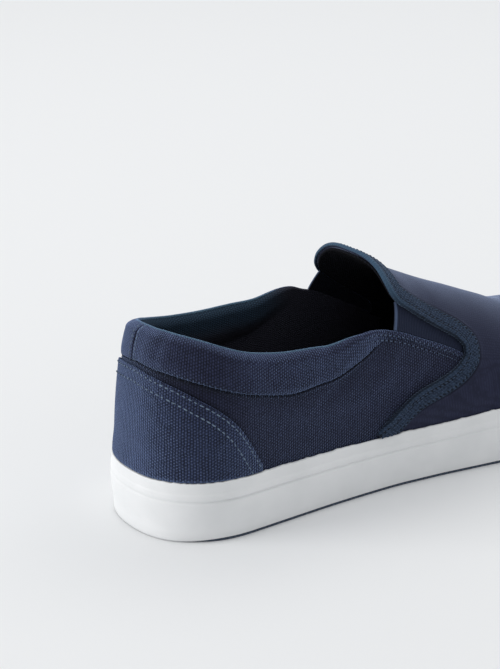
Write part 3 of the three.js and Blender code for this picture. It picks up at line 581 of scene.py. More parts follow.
def thicken(profile, thickness):
    """The profile moved by the thickness towards the inside of the wall."""
    along = unit(np.gradient(profile, axis=0) + 1e-12)
    inside = np.stack([along[..., 1], -along[..., 0]], axis=-1)
    return profile + inside * thickness


def quarter_profile(turn, side):
    cut = quarter_lines(turn, side)
    return profile_of([
        (cut["foot"], 0), (cut["fox"] - 1, 0), (mix(cut["fox"], cut["seam"], 0.5), 0),
        (cut["seam"] - cut["groove"], 0), (cut["seam"], -COLLAR_SEAM_DEPTH * cut["pad"]),
    ])


def crest_meeting(cut):
    """Where the collar's cloth meets the lining, just inside the crest."""
    return cut["top"] - LINING_DROP * cut["lip"], mix(cut["bulge"], cut["lining"], LINING_START)


def collar_profile(turn, side):
    cut = quarter_lines(turn, side)
    top = cut["top"]
    bulge = cut["bulge"]
    return profile_of([
        (cut["seam"] + 0.1, -COLLAR_SEAM_DEPTH * cut["pad"]),
        (cut["seam"] + cut["groove"], 0.3 * bulge),
        (mix(cut["seam"], top, 0.35), bulge),
        (cut["shoulder"], SHOULDER * bulge),
        (top - cut["lip"], mix(SHOULDER * bulge, cut["lining"], 0.22)),
        (top, mix(bulge, cut["lining"], 0.5)),
        crest_meeting(cut),
    ])


def lining_profile(turn, side):
    cut = quarter_lines(turn, side)
    lining = cut["lining"]
    wall = -QUARTER_WALL
    return profile_of([
        crest_meeting(cut),
        (cut["top"] - cut["lip"], mix(lining, cut["bulge"], 0.18)),
        (cut["shoulder"], lining),
        (mix(cut["seam"], cut["top"], 0.35), lining * 0.97),
        (cut["seam"] - cut["groove"], mix(wall, lining, 0.45)),
        (cut["seam"] - 6 * cut["groove"], wall),
        (mix(cut["fox"], cut["seam"], 0.4), wall),
        (cut["fox"] - 1, wall),
        (cut["foot"], wall),
    ])


def turned_mark(turn, side, height):
    """The mark "turned": where the collar's cloth is turned over on to the lining."""
    return {"turned": np.broadcast_to(top_pad(turn), height.shape)}


def wrap_shell(name, profile, steps, stations, thickness, relief, marks):
    """A closed cloth shell over the last from its (height, out) profile."""
    turn, side = stations
    front = refine(profile(turn, side), steps)
    back = thicken(front, thickness)
    height = front[..., 0].copy()
    lift = relief(turn, side, height)
    front[..., 1] += lift
    back[..., 1] += lift
    faces = [on_last_at_height(turn, side, wall[..., 0], wall[..., 1]) for wall in (front, back)]
    run = np.broadcast_to(signed_run(turn, side), height.shape)
    uv = np.stack([run, path_lengths(faces[0])], axis=-1)
    return shell(name, *faces, uv, marks(turn, side, height))


# Where the quarter's parts join at the middle of the heel
BACK_SEAM_RUN = -4.4
BACK_SEAM_WIDTH = 0.8
BACK_SEAM_DEPTH = 0.7
BACK_SEAM_SHADE = 0.6


def from_seam(turn, side, height):
    return height - quarter_lines(turn, side)["seam"]


def foot_shade(turn, side, height):
    """The mark "shade": the cloth darkens down towards the foxing, ahead of the heel."""
    ahead = between(run_at(turn, side), FOOT_SHADE_START)
    return {"shade": FOOT_SHADE * ahead * (1 - above_foxing(turn, height, FOOT_SHADE_RUN))}


def collar_shade(turn, side, height):
    """The mark "shade": dark in the valley along the collar seam and in the back seam."""
    above = from_seam(turn, side, height)
    ahead = between(run_at(turn, side), SEAM_SHADE_FADE)
    pad = top_pad(turn)
    valley = bell(above, np.where(above < 0, *SEAM_SHADE)) * mix(1, SEAM_SHADE_AHEAD, ahead)
    valley *= mix(0.5, 1, pad)
    soft = SEAM_SOFT_SHADE * bell(above, SEAM_SOFT_WIDTH) * ahead * mix(0.4, 1, pad)
    back_seam = BACK_SEAM_SHADE * bell(signed_run(turn, side) - BACK_SEAM_RUN, BACK_SEAM_WIDTH)
    return {"shade": np.maximum(valley + (1 - valley) * soft, back_seam)}


def quarter_shade(turn, side, height):
    """The mark "shade" of the quarter: its seam, its foot and the counter's edge."""
    edge_turn, edge_side = signed_stations(COUNTER_FRONT_TURN, EDGE_STATIONS)
    edge = np.stack([signed_run(edge_turn, edge_side), counter_top(edge_turn)], axis=-1)
    run = np.broadcast_to(signed_run(turn, side), height.shape)
    gap = distance_to(np.stack([run, height], axis=-1), edge)
    return {"shade": np.maximum.reduce([
        collar_shade(turn, side, height)["shade"], foot_shade(turn, side, height)["shade"],
        COUNTER_SHADE * bell(gap, COUNTER_SHADE_WIDTH)])}


def above_foxing(turn, height, reach):
    """0 at the foxing's top edge, 1 at the reach above it."""
    return smooth((height - foxing_top(turn)) / reach)


def counter_top(turn):
    return counter_height(turn) * COLLAR_HEIGHT


def heel_draw(turn, side, height):
    """Draws the cloth in a little round the back of the heel."""
    round_heel = bell(signed_run(turn, side) - HEEL_DRAW_RUN, HEEL_DRAW_WIDTH)
    return HEEL_DRAW * round_heel * above_foxing(turn, height, HEEL_DRAW_REACH)


def collar_relief(turn, side, height):
    seam = -BACK_SEAM_DEPTH * bell(signed_run(turn, side) - BACK_SEAM_RUN, BACK_SEAM_WIDTH)
    held = smooth(from_seam(turn, side, height) / SEAM_REACH) * top_pad(turn)
    return seam + creases(COLLAR_CREASES, turn, side, height) * held + heel_draw(turn, side, height)


def quarter_relief(turn, side, height):
    below = from_seam(turn, side, height)
    valley = -SEAM_VALLEY * bell(below, SEAM_VALLEY_WIDTH) * smooth(-below / SEAM_REACH) * top_pad(turn)
    free = above_foxing(turn, height, QUARTER_REACH) * smooth(-below / SEAM_REACH)
    return valley + creases(QUARTER_CREASES, turn, side, height) * free + heel_draw(turn, side, height)


def counter_relief(turn, side, height):
    below_top = smooth((counter_top(turn) - height) / COUNTER_TOP_REACH)
    free = above_foxing(turn, height, COUNTER_REACH) * below_top
    return creases(COUNTER_CREASES, turn, side, height) * free + heel_draw(turn, side, height)


# Vamp

THROAT_ROWS = 81
EDGE_STATIONS = 90
VAMP_GRID = (110, 200)
VAMP_LINING_GRID = (56, 80)
VAMP_GROWTH = 1.35
BEND_WEIGHT = 14


def throat_line():
    """Turn of the throat edge for a given rise."""
    rows = []
    for share in np.linspace(0, 1, THROAT_ROWS):
        height = mix(THROAT[0][0], 1, share)
        turn = float(throat_turn(height))
        rise = float(rise_at(turn, height * INSTEP_HEIGHT))
        if not rows or rise > rows[-1][0] + SLOPE_STEP:
            rows.append((rise, turn))
    return rows


throat_turn_at_rise = curve(throat_line(), 1)


def throat_rises(low, high, count):
    """Rises along the throat edge, closer together where the edge bends."""
    rises = np.linspace(low, high, 8 * count + 1)
    points = last_point(throat_turn_at_rise(rises), OUTER, rises)
    steps = np.diff(points, axis=0)
    lengths = np.linalg.norm(steps, axis=-1)
    cosine = np.sum(steps[1:] * steps[:-1], axis=-1) / (lengths[1:] * lengths[:-1])
    bends = np.append(np.arccos(np.clip(cosine, -1, 1)), 0)
    weighed = lengths + BEND_WEIGHT * bends
    softened = np.convolve(np.pad(weighed, 8, mode="edge"), np.ones(17) / 17, mode="valid")
    run = np.concatenate([[0], np.cumsum(softened)])
    return np.interp(np.linspace(0, run[-1], count + 1), run, rises)


# The vamp's folded edge just ahead of the tape
FOLD_AHEAD = 1.1
FOLD_WIDTH = 0.6
FOLD_LIFT = 0.16
TAPE_SHADE_AHEAD = 0.35
TAPE_SHADE_WIDTH = 0.6


def ahead_of_tape(turn, side, height):
    """How far a point of the vamp lies ahead of the tape's front edge."""
    rise = np.linspace(FEATHER_RISE, RIDGE_RISE, EDGE_STATIONS)
    edge = last_point(throat_turn_at_rise(rise), side, rise)
    return distance_to(last_point(turn, side, rise_at(turn, height)), edge) - BINDING_WIDTH


def vamp_out(turn, height):
    return mix(VAMP_RISE_AT_FOXING, VAMP_RISE, above_foxing(turn, height, VAMP_RISE_RUN))


def vamp_face(turn, side, height):
    """The vamp's outside: its rise, the folded edge and the creases."""
    ahead = ahead_of_tape(turn, side, height)
    fold = FOLD_LIFT * bell(ahead - FOLD_AHEAD, FOLD_WIDTH)
    soft = creases(VAMP_CREASES, turn, side, height) * smooth(ahead / 4)
    return vamp_out(turn, height) + above_foxing(turn, height, VAMP_REACH) * (fold + soft)


def even_face(out):
    """A side of the vamp at one distance out from the last."""
    return lambda turn, side, height: np.full(turn.shape, out)


def tape_shade(turn, side, height):
    """The mark "shade": 1 where the tape's front edge darkens the vamp."""
    return bell(ahead_of_tape(turn, side, height) - TAPE_SHADE_AHEAD, TAPE_SHADE_WIDTH)


def vamp_places(grid):
    """Turns and rises of the vamp's grid: rows up to the ridge, columns to the toe."""
    rows, columns = grid
    edge = throat_rises(FEATHER_RISE, RIDGE_RISE, rows)[:, None]
    even = np.linspace(FEATHER_RISE, RIDGE_RISE, rows + 1)[:, None]
    share = (np.linspace(0, 1, columns + 1) ** VAMP_GROWTH)[None, :]
    rise = mix(edge, even, smooth(share))
    turn = mix(throat_turn_at_rise(edge), 1, share)
    return turn, rise


def flat_cut(points, side):
    """Cloth coordinates that keep lengths down from the ridge and the way they run in plan."""
    from_ridge = points[::-1]
    steps = np.diff(from_ridge, axis=0)
    plan = steps[..., :2] + (side * 1e-4, 0)
    flat = unit(plan) * np.linalg.norm(steps, axis=-1, keepdims=True)
    along = run_along(from_ridge[0])
    start = np.stack([np.zeros(len(along)), along], axis=-1)[None]
    return np.concatenate([start, start + np.cumsum(flat, axis=0)])[::-1]


def vamp_sheet(name, grid, outside, inside, look, slot, *nodes):
    """Both sides of the vamp as one closed sheet, joined along the ridge and the toe."""
    turn, rise = vamp_places(grid)
    height = height_at(turn, rise)
    count = turn.size
    points = []
    quads = []
    uvs = []
    shades = []
    for side in (OUTER, INNER):
        faces = [on_last(turn, side, rise, face(turn, side, height)) for face in (outside, inside)]
        index = np.arange(count).reshape(turn.shape) + len(points) * count
        walls = [np.stack([line[:-1], line[1:], line[1:] + count, line[:-1] + count], axis=-1)
                 for line in (index[0], index[:, 0])]
        quads += [grid_faces(index), grid_faces(index + count), *walls]
        points += faces
        uvs += [flat_cut(faces[0], side)] * 2
        shades += [tape_shade(turn, side, height)] * 2
    obj = make_mesh(name, np.stack(points), np.concatenate(quads), np.stack(uvs),
                    {"shade": np.stack(shades)}, join=2e-3)
    return dress(obj, look, slot, *nodes)


# Heel counter

COUNTER_OUT = SKIN_CLEAR + COUNTER_THICKNESS


def counter_profile(turn, side):
    outside = COUNTER_OUT
    foot = foxing_top(turn) + EDGE_CLEAR
    top = np.maximum(counter_top(turn), foot + 1)
    return profile_of([
        (foot, outside), (mix(foot, top, 0.5), outside), (top - 0.9, outside),
        (top - 0.2, outside - 0.12), (top, outside - 0.4),
    ])


# Elastic gores

GORE_COLUMNS = 60
GORE_LINES = 60
GORE_TUCK = 0.15
GORE_TIP = 0.97


def gore_grid(side, out):
    corner = max(THROAT, key=lambda row: row[1])
    share = np.linspace(0, GORE_TIP, GORE_COLUMNS)[None, :]
    low_turn = mix(GORE_BACK_TURN, corner[1], share)
    low_height = top_height(low_turn, side) + GORE_TUCK
    high_height = mix(GORE_TOP, corner[0], share) * INSTEP_HEIGHT
    high_turn = throat_turn(high_height / INSTEP_HEIGHT) - EDGE_CLEAR / (np.pi * LENGTH / 2)
    up = np.linspace(0, 1, GORE_LINES)[:, None]
    turn = mix(low_turn, high_turn, up)
    return on_last_at_height(turn, side, mix(low_height, high_height, up), out)


def gore(name, side, look, node):
    front = gore_grid(side, -GORE_DEPTH)
    back = gore_grid(side, -GORE_DEPTH - GORE_THICKNESS)
    across = path_lengths(front.transpose(1, 0, 2)).T
    uv = np.stack([across, path_lengths(front)], axis=-1)
    return dress(shell(name, front, back, uv), look, "elastic", node)


# Tape along the throat

EDGE_STEP = 0.03
TAPE_BACK = VAMP_RISE + 0.1
TAPE_STATIONS = 420
TAPE_STEPS = (3, 3, 8, 8, 4, 4, 4)


def ahead_of_throat(turn, side, rise, distance, out):
    """A point the distance ahead of the throat edge, square to the edge."""
    along, over = last_slopes(turn, side, rise)
    low = np.maximum(rise - EDGE_STEP, FEATHER_RISE)
    high = np.minimum(rise + EDGE_STEP, RIDGE_RISE)
    end, start = (last_point(throat_turn_at_rise(near), side, near) for near in (high, low))
    ahead = unit(np.cross(last_normal(turn, side, rise), end - start))
    ahead *= np.where(np.sum(ahead * along, axis=-1) < 0, -1, 1)[..., None]
    aa, ab, bb = (np.sum(p * q, axis=-1) for p, q in ((along, along), (along, over), (over, over)))
    a = np.sum(ahead * along, axis=-1)
    b = np.sum(ahead * over, axis=-1)
    scale = distance / (aa * bb - ab * ab)
    new_turn = turn + (a * bb - b * ab) * scale
    new_rise = np.where(rise >= RIDGE_RISE, rise, rise + (b * aa - a * ab) * scale)
    low_rise = rise_at(new_turn, foxing_top(new_turn) + EDGE_CLEAR)
    return on_last(new_turn, side, np.clip(new_rise, low_rise, RIDGE_RISE), out)


def throat_stations(count):
    """Turn, side and rise of stations along the throat, from the outer foxing to the inner."""
    low_turn = float(throat_turn(FOXING_HEIGHT / INSTEP_HEIGHT))
    low_rise = float(rise_at(low_turn, foxing_top(low_turn) + BINDING_THICKNESS + EDGE_CLEAR))
    rises = throat_rises(low_rise, RIDGE_RISE, count // 2)
    rise = np.concatenate([rises, rises[-2::-1]])
    side = np.concatenate([np.full(len(rises), OUTER), np.full(len(rises) - 1, INNER)])
    return throat_turn_at_rise(rise), side, rise


def tape_grid(*profile):
    """The tape's face or back from its section, each row the distance ahead of the edge and out."""
    turn, side, rise = throat_stations(TAPE_STATIONS)
    rows = refine(profile_of([(np.full(len(turn), ahead), out) for ahead, out in profile]), TAPE_STEPS)
    return np.array([ahead_of_throat(turn, side, rise, row[:, 0], row[:, 1]) for row in rows])


def throat_tape(look):
    over = TAPE_BACK + BINDING_THICKNESS + 0.3
    lip = -(EDGE_CLEAR + BINDING_THICKNESS)
    across = (BINDING_WIDTH, BINDING_WIDTH - 0.25, BINDING_WIDTH - 0.9, BINDING_WIDTH / 2, 0.6)
    front = tape_grid(*zip(across, (TAPE_BACK + 0.2, over - 0.15, over, over, over)),
                      (lip * 0.6, over - 0.12), (lip, over - 0.7), (lip, EDGE_CLEAR))
    back = tape_grid(*((ahead, TAPE_BACK) for ahead in across), (-EDGE_CLEAR, TAPE_BACK),
                     (-EDGE_CLEAR - 0.02, TAPE_BACK - 0.2), (-EDGE_CLEAR - 0.03, EDGE_CLEAR))
    along = path_lengths(front.transpose(1, 0, 2)).T
    uv = np.stack([along, path_lengths(front)], axis=-1)
    return dress(shell("throat_tape", front, back, uv), look, "tape", "throat_binding")


# Sole pieces

RING_STATIONS = 420
OUTSOLE_STATIONS = 600
INSOLE_STATIONS = 240
INSOLE_CUP_ROWS = 9
OUTSOLE_TOP_ROWS = 8
INSOLE_BOTTOM_ROWS = 4
INSOLE_TOP_ROWS = 24
# Shares of the length over which the footbed's cup fades and its arch rises and falls
CUP_SHARE = 0.45
ARCH_RISE = (0.18, 0.38)
ARCH_FALL = (0.45, 0.65)
# Steps of each span of the foxing's section, from its outer foot up, over and down the inside
FOXING_STEPS = (2, 3, 4, 4, 4, 3, 3, 3, 3, 4, 3, 4, 3, 3, 3, 6, 2, 4, 2, 1)
# Where the foxing's groove lies and how wide it is, as shares of the foxing's height
GROOVE_PLACE = 0.6825
GROOVE_WIDTH = 0.022
# How far the foxing's foot comes down over the outsole's edge, and between which turns that fades
HEEL_LIP = 1.15
HEEL_LIP_TURNS = (0.07, 0.2)


def ring_stations(count):
    turn = np.concatenate([np.arange(count) / count, np.arange(count, 0, -1) / count])
    side = np.concatenate([np.full(count, OUTER), np.full(count, INNER)])
    return turn, side


def ring(name, profile, steps, relief):
    """A closed band round the sole from its (height, out) profile, whose last row meets its first."""
    turn, side = ring_stations(RING_STATIONS)
    rows = relief(turn, side, refine(profile(turn), steps)[:-1])
    points = np.concatenate([outline(turn, side, rows[..., 1]), rows[..., :1]], axis=-1)
    index = np.arange(rows[..., 0].size).reshape(rows.shape[:2])
    index = np.concatenate([index, index[:, :1]], axis=1)
    index = np.concatenate([index, index[:1]], axis=0)
    run = np.broadcast_to(signed_run(turn, side), rows.shape[:2])
    uv = np.stack([run, rows[..., 0]], axis=-1)
    return make_mesh(name, points, grid_faces(index), uv, {"groove": groove_mark(turn, rows)})


def groove_mark(turn, rows):
    """How deep a point lies in the foxing's groove, 0 to 1."""
    foot = spring_at(turn) + FOXING_FOOT
    share = (rows[..., 0] - foot) / (foxing_top(turn) - foot)
    return bell(share - GROOVE_PLACE, GROOVE_WIDTH) * groove_depth(turn) / FOXING_GROOVE


def rise_at_foxing(turn):
    return VAMP_RISE_AT_FOXING * smooth((turn - THROAT[0][1]) / 0.03 + 1)


def heel_lip(turn):
    """How far the foxing's foot comes down over the outsole's edge round the heel."""
    return HEEL_LIP * (1 - between(turn, HEEL_LIP_TURNS))


def foxing_profile(turn):
    spring = spring_at(turn)
    foot = spring + FOXING_FOOT
    top = foxing_top(turn)
    inside = -FEATHER_INSET + rise_at_foxing(turn) + SKIN_CLEAR
    shelf = -(FEATHER_INSET + FOXING_SHELF_WIDTH)
    seat = spring + SEAT_HEIGHT
    ledge = -FOXING_LEDGE / 3
    groove = ledge - groove_depth(turn)
    lip = heel_lip(turn)
    wall = [
        (0.20, -0.53 * FOXING_BOTTOM_TUCK), (0.40, -0.12 * FOXING_BOTTOM_TUCK), (0.56, 0),
        (0.640, ledge / 2 + 0.1), (0.662, mix(ledge / 2, groove, 0.35)), (GROOVE_PLACE, groove),
        (0.703, mix(ledge, groove, 0.35)), (0.725, ledge + 0.1), (0.79, ledge), (0.83, -FOXING_LEDGE),
    ]
    return profile_of([
        (foot - lip, -FOXING_BOTTOM_TUCK + 0.1),
        (mix(foot, top, 0.02) - lip / 2, -FOXING_BOTTOM_TUCK + 0.15 + lip / 3),
        *((mix(foot, top, share), out) for share, out in wall),
        (top - FOXING_LEDGE, -FOXING_LEDGE),
        (top - 0.15, mix(-FOXING_LEDGE, inside, 0.15)),
        (top, mix(-FOXING_LEDGE, inside, 0.5)),
        (top, inside), (seat, inside), (seat, shelf), (foot, shelf),
        (foot, -FOXING_BOTTOM_TUCK - 2 * lip - 0.1),
        (foot - lip, -FOXING_BOTTOM_TUCK + 0.1),
    ])


def even_shares(across, turn):
    return [np.full(turn.shape, share) for share in np.linspace(0, 1, across + 1)[1:-1]]


def tread_shares(turn):
    """Places across the bottom whose outer rows follow the ends of the tread grooves."""
    rims = [outline(turn, side, -FOXING_BOTTOM_TUCK - CLEAR) for side in (OUTER, INNER)]
    width = np.linalg.norm(rims[0] - rims[1], axis=-1) + TREAD_WALL
    margin = TREAD_MARGIN - FOXING_BOTTOM_TUCK - CLEAR
    near = [np.minimum((margin + step) / width, 0.45) for step in (0, TREAD_WALL / 2, TREAD_WALL)]
    middle = [mix(near[-1], 1 - near[-1], share) for share in np.linspace(0, 1, TREAD_COLUMNS + 1)[1:-1]]
    return near + middle + [1 - share for share in near[::-1]]


def plate(name, turn, levels, bottom, top, relief=None):
    """A plate closed across its bottom and its top; levels go up its rim as (height, out)."""
    def rim(side):
        rows = profile_of(levels(turn, side))
        return list(np.concatenate([outline(turn, side, rows[..., 1]), rows[..., :1]], axis=-1))

    outer = rim(OUTER)
    inner = rim(INNER)
    loop = [mix(outer[0], inner[0], share[:, None]) for share in bottom]
    if relief is not None:
        loop = [relief(points) for points in loop]
    loop += inner
    loop += [mix(inner[-1], outer[-1], share[:, None]) for share in top]
    points = np.array(loop + outer[::-1])
    index = np.arange(points[..., 0].size).reshape(points.shape[:2])
    index = np.concatenate([index, index[:1]], axis=0)
    return make_mesh(name, points, grid_faces(index), points[..., :2], join=1e-3)


def tread_relief(points):
    """Cuts the cross grooves into the bottom."""
    y = points[..., 1]
    first = -LENGTH / 2 + TREAD_HEEL_RUN
    phase = (y - first + TREAD_PITCH / 2) % TREAD_PITCH - TREAD_PITCH / 2
    wall = TREAD_WALL
    cut = smooth((TREAD_GROOVE / 2 + wall / 2 - np.abs(phase)) / wall)
    inside = (y > first - TREAD_GROOVE) & (y < LENGTH / 2 - TREAD_TOE_RUN)
    left, right = (np.interp(y, edge[:, 1], edge[:, 0]) for edge in (
        outline(RUN_TURNS, INNER, -TREAD_MARGIN), outline(RUN_TURNS, OUTER, -TREAD_MARGIN)))
    x = points[..., 0]
    edge = smooth((x - left) / wall) * smooth((right - x) / wall)
    result = points.copy()
    result[..., 2] += TREAD_DEPTH * cut * inside * edge
    return result


def outsole_levels(turn, side):
    """Up the outsole's edge, which draws in behind the foxing round the heel."""
    foot = spring_at(turn)
    edge = -FOXING_BOTTOM_TUCK - 2 * heel_lip(turn)
    core = -(FEATHER_INSET + FOXING_SHELF_WIDTH + CLEAR)
    return [
        (foot, edge - CLEAR), (foot + 0.1, edge - 0.06), (foot + CLEAR, edge),
        (foot + OUTSOLE_FLANGE - 0.05, edge), (foot + OUTSOLE_FLANGE, edge - 0.05),
        (foot + OUTSOLE_FLANGE, core), (foot + SEAT_HEIGHT, core),
    ]


def outsole(look):
    turn = np.linspace(0, 1, OUTSOLE_STATIONS + 1)
    obj = plate("outsole_rubber", turn, outsole_levels, tread_shares(turn),
                even_shares(OUTSOLE_TOP_ROWS, turn), tread_relief)
    return dress(obj, look, "blue_rubber", "outsole")


def insole_levels(turn, side):
    """Up the footbed's edge and in over its cup and arch to the bed."""
    edge = -(FEATHER_INSET + QUARTER_WALL + INSOLE_CLEAR)
    seat = spring_at(turn) + SEAT_HEIGHT + CLEAR
    bed = seat + INSOLE_THICKNESS
    place = length_share(turn)
    cup = INSOLE_CUP * (1 - smooth(place / CUP_SHARE))
    hump = between(place, ARCH_RISE) * (1 - between(place, ARCH_FALL))
    rim = bed + cup + INSOLE_ARCH * hump * (side == INNER)
    fall = [(mix(rim, bed, smooth(share)), edge - CLEAR - share * (INSOLE_CUP_RUN - CLEAR))
            for share in np.linspace(0, 1, INSOLE_CUP_ROWS)]
    return [(seat, edge), (rim - CLEAR, edge), *fall]


def insole(look):
    turn = np.linspace(0, 1, INSOLE_STATIONS + 1)
    obj = plate("insole_knit", turn, insole_levels, even_shares(INSOLE_BOTTOM_ROWS, turn),
                even_shares(INSOLE_TOP_ROWS, turn))
    return dress(obj, look, "footbed", "insole")


# Looks

def paint(code):
    """Linear colour from a six-figure screen colour."""
    parts = [int(code[i:i + 2], 16) / 255 for i in (0, 2, 4)]
    return tuple(p / 12.92 if p <= 0.04045 else ((p + 0.055) / 1.055) ** 2.4 for p in parts) + (1,)


class Number:
    """A number from a look's nodes, ready for sums."""

    def __init__(self, graph, socket):
        self.graph = graph
        self.socket = socket

    def math(self, operation, *others):
        node = self.graph.tree.nodes.new("ShaderNodeMath")
        node.operation = operation
        for place, value in enumerate((self, *others)):
            self.graph.feed(node.inputs[place], value)
        return Number(self.graph, node.outputs[0])

    def __rsub__(self, other):
        return self * -1 + other

    def __rtruediv__(self, other):
        return self ** -1 * other

    __add__ = __radd__ = partialmethod(math, "ADD")
    __sub__ = partialmethod(math, "SUBTRACT")
    __mul__ = __rmul__ = partialmethod(math, "MULTIPLY")
    __truediv__ = partialmethod(math, "DIVIDE")
    __pow__ = partialmethod(math, "POWER")
    __abs__ = partialmethod(math, "ABSOLUTE")
    sine = partialmethod(math, "SINE")
    floor = partialmethod(math, "FLOOR")
    larger = partialmethod(math, "MAXIMUM")

    def ridges(self):
        """Rounded ridges, one to each whole number."""
        return abs((self * math.pi).sine())

    def swings(self):
        """From 0 to 1 and back over each whole number."""
        return (self * math.tau).sine() * 0.5 + 0.5

    def held(self):
        """The number kept between 0 and 1."""
        return self.larger(0.0).math("MINIMUM", 1.0)

    def ramp(self, low, high):
        """0 at low, 1 at high, eased between; low may be above high."""
        node = self.graph.node("ShaderNodeMapRange", {"interpolation_type": "SMOOTHSTEP"},
                               {"Value": self, "From Min": min(low, high), "From Max": max(low, high),
                                "To Min": float(low > high), "To Max": float(low < high)})
        return node.number("Result")


class Node:
    """A node whose outputs are asked for by name."""

    def __init__(self, graph, node):
        self.graph = graph
        self.node = node

    def out(self, name):
        return next(socket for socket in self.node.outputs if socket.name == name and socket.enabled)

    def number(self, name):
        return Number(self.graph, self.out(name))


class Graph:
    """A node tree that is built from calls."""

    def __init__(self, tree):
        self.tree = tree
        self.tree.nodes.clear()

    def feed(self, socket, value):
        if isinstance(value, Number):
            value = value.socket
        if isinstance(value, bpy.types.NodeSocket):
            self.tree.links.new(value, socket)
        else:
            socket.default_value = value

    def node(self, kind, settings, values):
        node = self.tree.nodes.new(kind)
        for key, value in settings.items():
            setattr(node, key, value)
        for key, value in values.items():
            socket = next(s for s in node.inputs if s.name == key and s.enabled)
            self.feed(socket, value)
        return Node(self, node)


class Look(Graph):
    """A material made of nodes; even values go straight on its shader."""

    def __init__(self, name, even):
        self.material = bpy.data.materials.new(name)
        self.material.use_nodes = True
        super().__init__(self.material.node_tree)
        self.shader = self.node("ShaderNodeBsdfPrincipled", {}, even)
        self.node("ShaderNodeOutputMaterial", {}, {"Surface": self.shader.out("BSDF")})

    def cloth(self):
        """The two cloth coordinates, in millimetres."""
        uv = self.node("ShaderNodeUVMap", {"uv_map": "cloth"}, {})
        split = self.node("ShaderNodeSeparateXYZ", {}, {"Vector": uv.out("UV")})
        return split.number("X") / MM, split.number("Y") / MM

    def place(self):
        return self.node("ShaderNodeTexCoord", {}, {}).out("Object")

    def axis(self, name):
        split = self.node("ShaderNodeSeparateXYZ", {}, {"Vector": self.place()})
        return split.number(name) / MM

    def mark(self, name):
        return self.node("ShaderNodeAttribute", {"attribute_name": name}, {}).number("Fac")

    def noise(self, size, detail=3.0, rough=0.5):
        """Soft noise whose lumps are about the size in millimetres."""
        node = self.node("ShaderNodeTexNoise", {}, {
            "Vector": self.place(), "Scale": 1 / (size * MM), "Detail": detail, "Roughness": rough})
        return node.number("Fac")

    def drawn_noise(self, u, v, detail=2.0):
        """Noise over cloth coordinates that are already scaled."""
        spot = self.node("ShaderNodeCombineXYZ", {}, {"X": u, "Y": v})
        node = self.node("ShaderNodeTexNoise", {}, {
            "Vector": spot.out("Vector"), "Scale": 1.0, "Detail": detail})
        return node.number("Fac")

    def blend(self, low, high, share):
        """A colour between two colours, each a code or a node's; the share is kept between 0 and 1."""
        low, high = (paint(colour) if isinstance(colour, str) else colour for colour in (low, high))
        node = self.node("ShaderNodeMix", {"data_type": "RGBA", "clamp_factor": True},
                         {"Factor": share, "A": low, "B": high})
        return node.out("Result")

    def set(self, name, value):
        self.feed(self.shader.node.inputs[name], value)

    def bump(self, height, depth, strength=1.0):
        """Relief from a height between 0 and 1, depth in millimetres."""
        node = self.node("ShaderNodeBump", {}, {
            "Height": height, "Distance": depth * MM, "Strength": strength})
        self.set("Normal", node.out("Normal"))


def weave(u, v, across, along):
    """Height of a plain weave, 0 to 1, from its pitches across and along."""
    a = u / across
    b = v / along
    rib = a.ridges() ** 0.7 * ((b + a.floor()) * math.pi).sine().ramp(-1.0, 0.6)
    cross = b.ridges() * ((a + b.floor()) * math.pi).sine().ramp(0.8, -1.0) * 0.7
    return rib.larger(cross)


def even(rough, specular, *sheen):
    """A shader's even values: roughness, specular level, then the sheen's weight, roughness, tint."""
    names = ("Roughness", "Specular IOR Level", "Sheen Weight", "Sheen Roughness", "Sheen Tint")
    return dict(zip(names, (rough, specular, *sheen)))


CLOTH_SHEEN = even(0.9, 0.2, 1.0, 0.33, paint("a6c0f6"))
VAMP_SHEEN = even(0.9, 0.2, 0.85, 0.38, paint("a8b8da"))


def canvas_look(name, colours, pitches, depth, show=1.0, loose=0.25, values=CLOTH_SHEEN):
    """Woven canvas: gaps darkened as painted shade, threads with a slub to them and tops paler as painted
    highlight; show is how clearly.

    loose is how far, in millimetres, threads stray from their lines."""
    gap, thread, tip_highlight = colours
    across, along = pitches
    look = Look(name, values)
    u, v = look.cloth()
    waver = look.noise(5, 3.0) - 0.5
    drift = look.noise(1.7, 1.0) - 0.5
    height = weave(u + waver * 0.9 + drift * loose, v + waver * 0.5 - drift * loose * 0.8, across, along)
    slub = look.drawn_noise(u / (across * 1.1), v / (along * 9), 2.0)
    pick = look.drawn_noise(u / (across * 7), v / (along * 1.2), 1.0)
    fibre = look.noise(0.45, 2.0)
    cloud = look.noise(16, 3.0)
    # Painted shade in the gaps and painted highlight on the threads' tops, both by the weave's height.
    fill = height * 0.85 * show + (slub - 0.5) * 0.6 * show + (pick - 0.5) * 0.5 * show
    body = look.blend(gap, thread, fill + 0.55 - 0.3 * show + (fibre - 0.5) * 0.3)
    highlight_on_tops = ((height - 0.5) * 1.6 + (fibre - 0.5) * 1.0 + (slub - 0.5) * 0.9 + (pick - 0.5) * 0.8).held()
    colour = look.blend(body, tip_highlight, highlight_on_tops * 0.6 * show)
    worn = look.blend(colour, tip_highlight, cloud.ramp(0.45, 0.75) * 0.12 + (fibre - 0.5) * 0.08)
    look.set("Base Color", look.blend(worn, "04050a", look.mark("shade") * 0.72))
    look.bump(height * 0.8 + fibre * 0.2, depth)
    return look.material


def knit_look(name, dark, light, size):
    """Fine knit: small loops in columns."""
    look = Look(name, even(0.95, 0.15))
    u, v = look.cloth()
    column = u / size
    loops = column.ridges() * (v / size + column.floor() * 0.5).swings()
    fibre = look.noise(0.6, 2.0)
    look.set("Base Color", look.blend(dark, light, loops * 0.8 + fibre * 0.3 - 0.1))
    look.bump(loops, 0.25)
    return look


def lining_look():
    """The collar's cloth turned over its crest, then near-black knit."""
    look = knit_look("lining_knit", "292a33", "41424f", 1.1)
    u, v = look.cloth()
    turned = v.ramp(17.0, 7.0) * look.mark("turned").ramp(0.1, 0.9)
    cloth = weave(u, v, 1.3, 0.65)
    knit = look.shader.node.inputs["Base Color"].links[0].from_socket
    look.set("Base Color", look.blend(knit, look.blend("141b26", "33475a", cloth), turned))
    return look.material


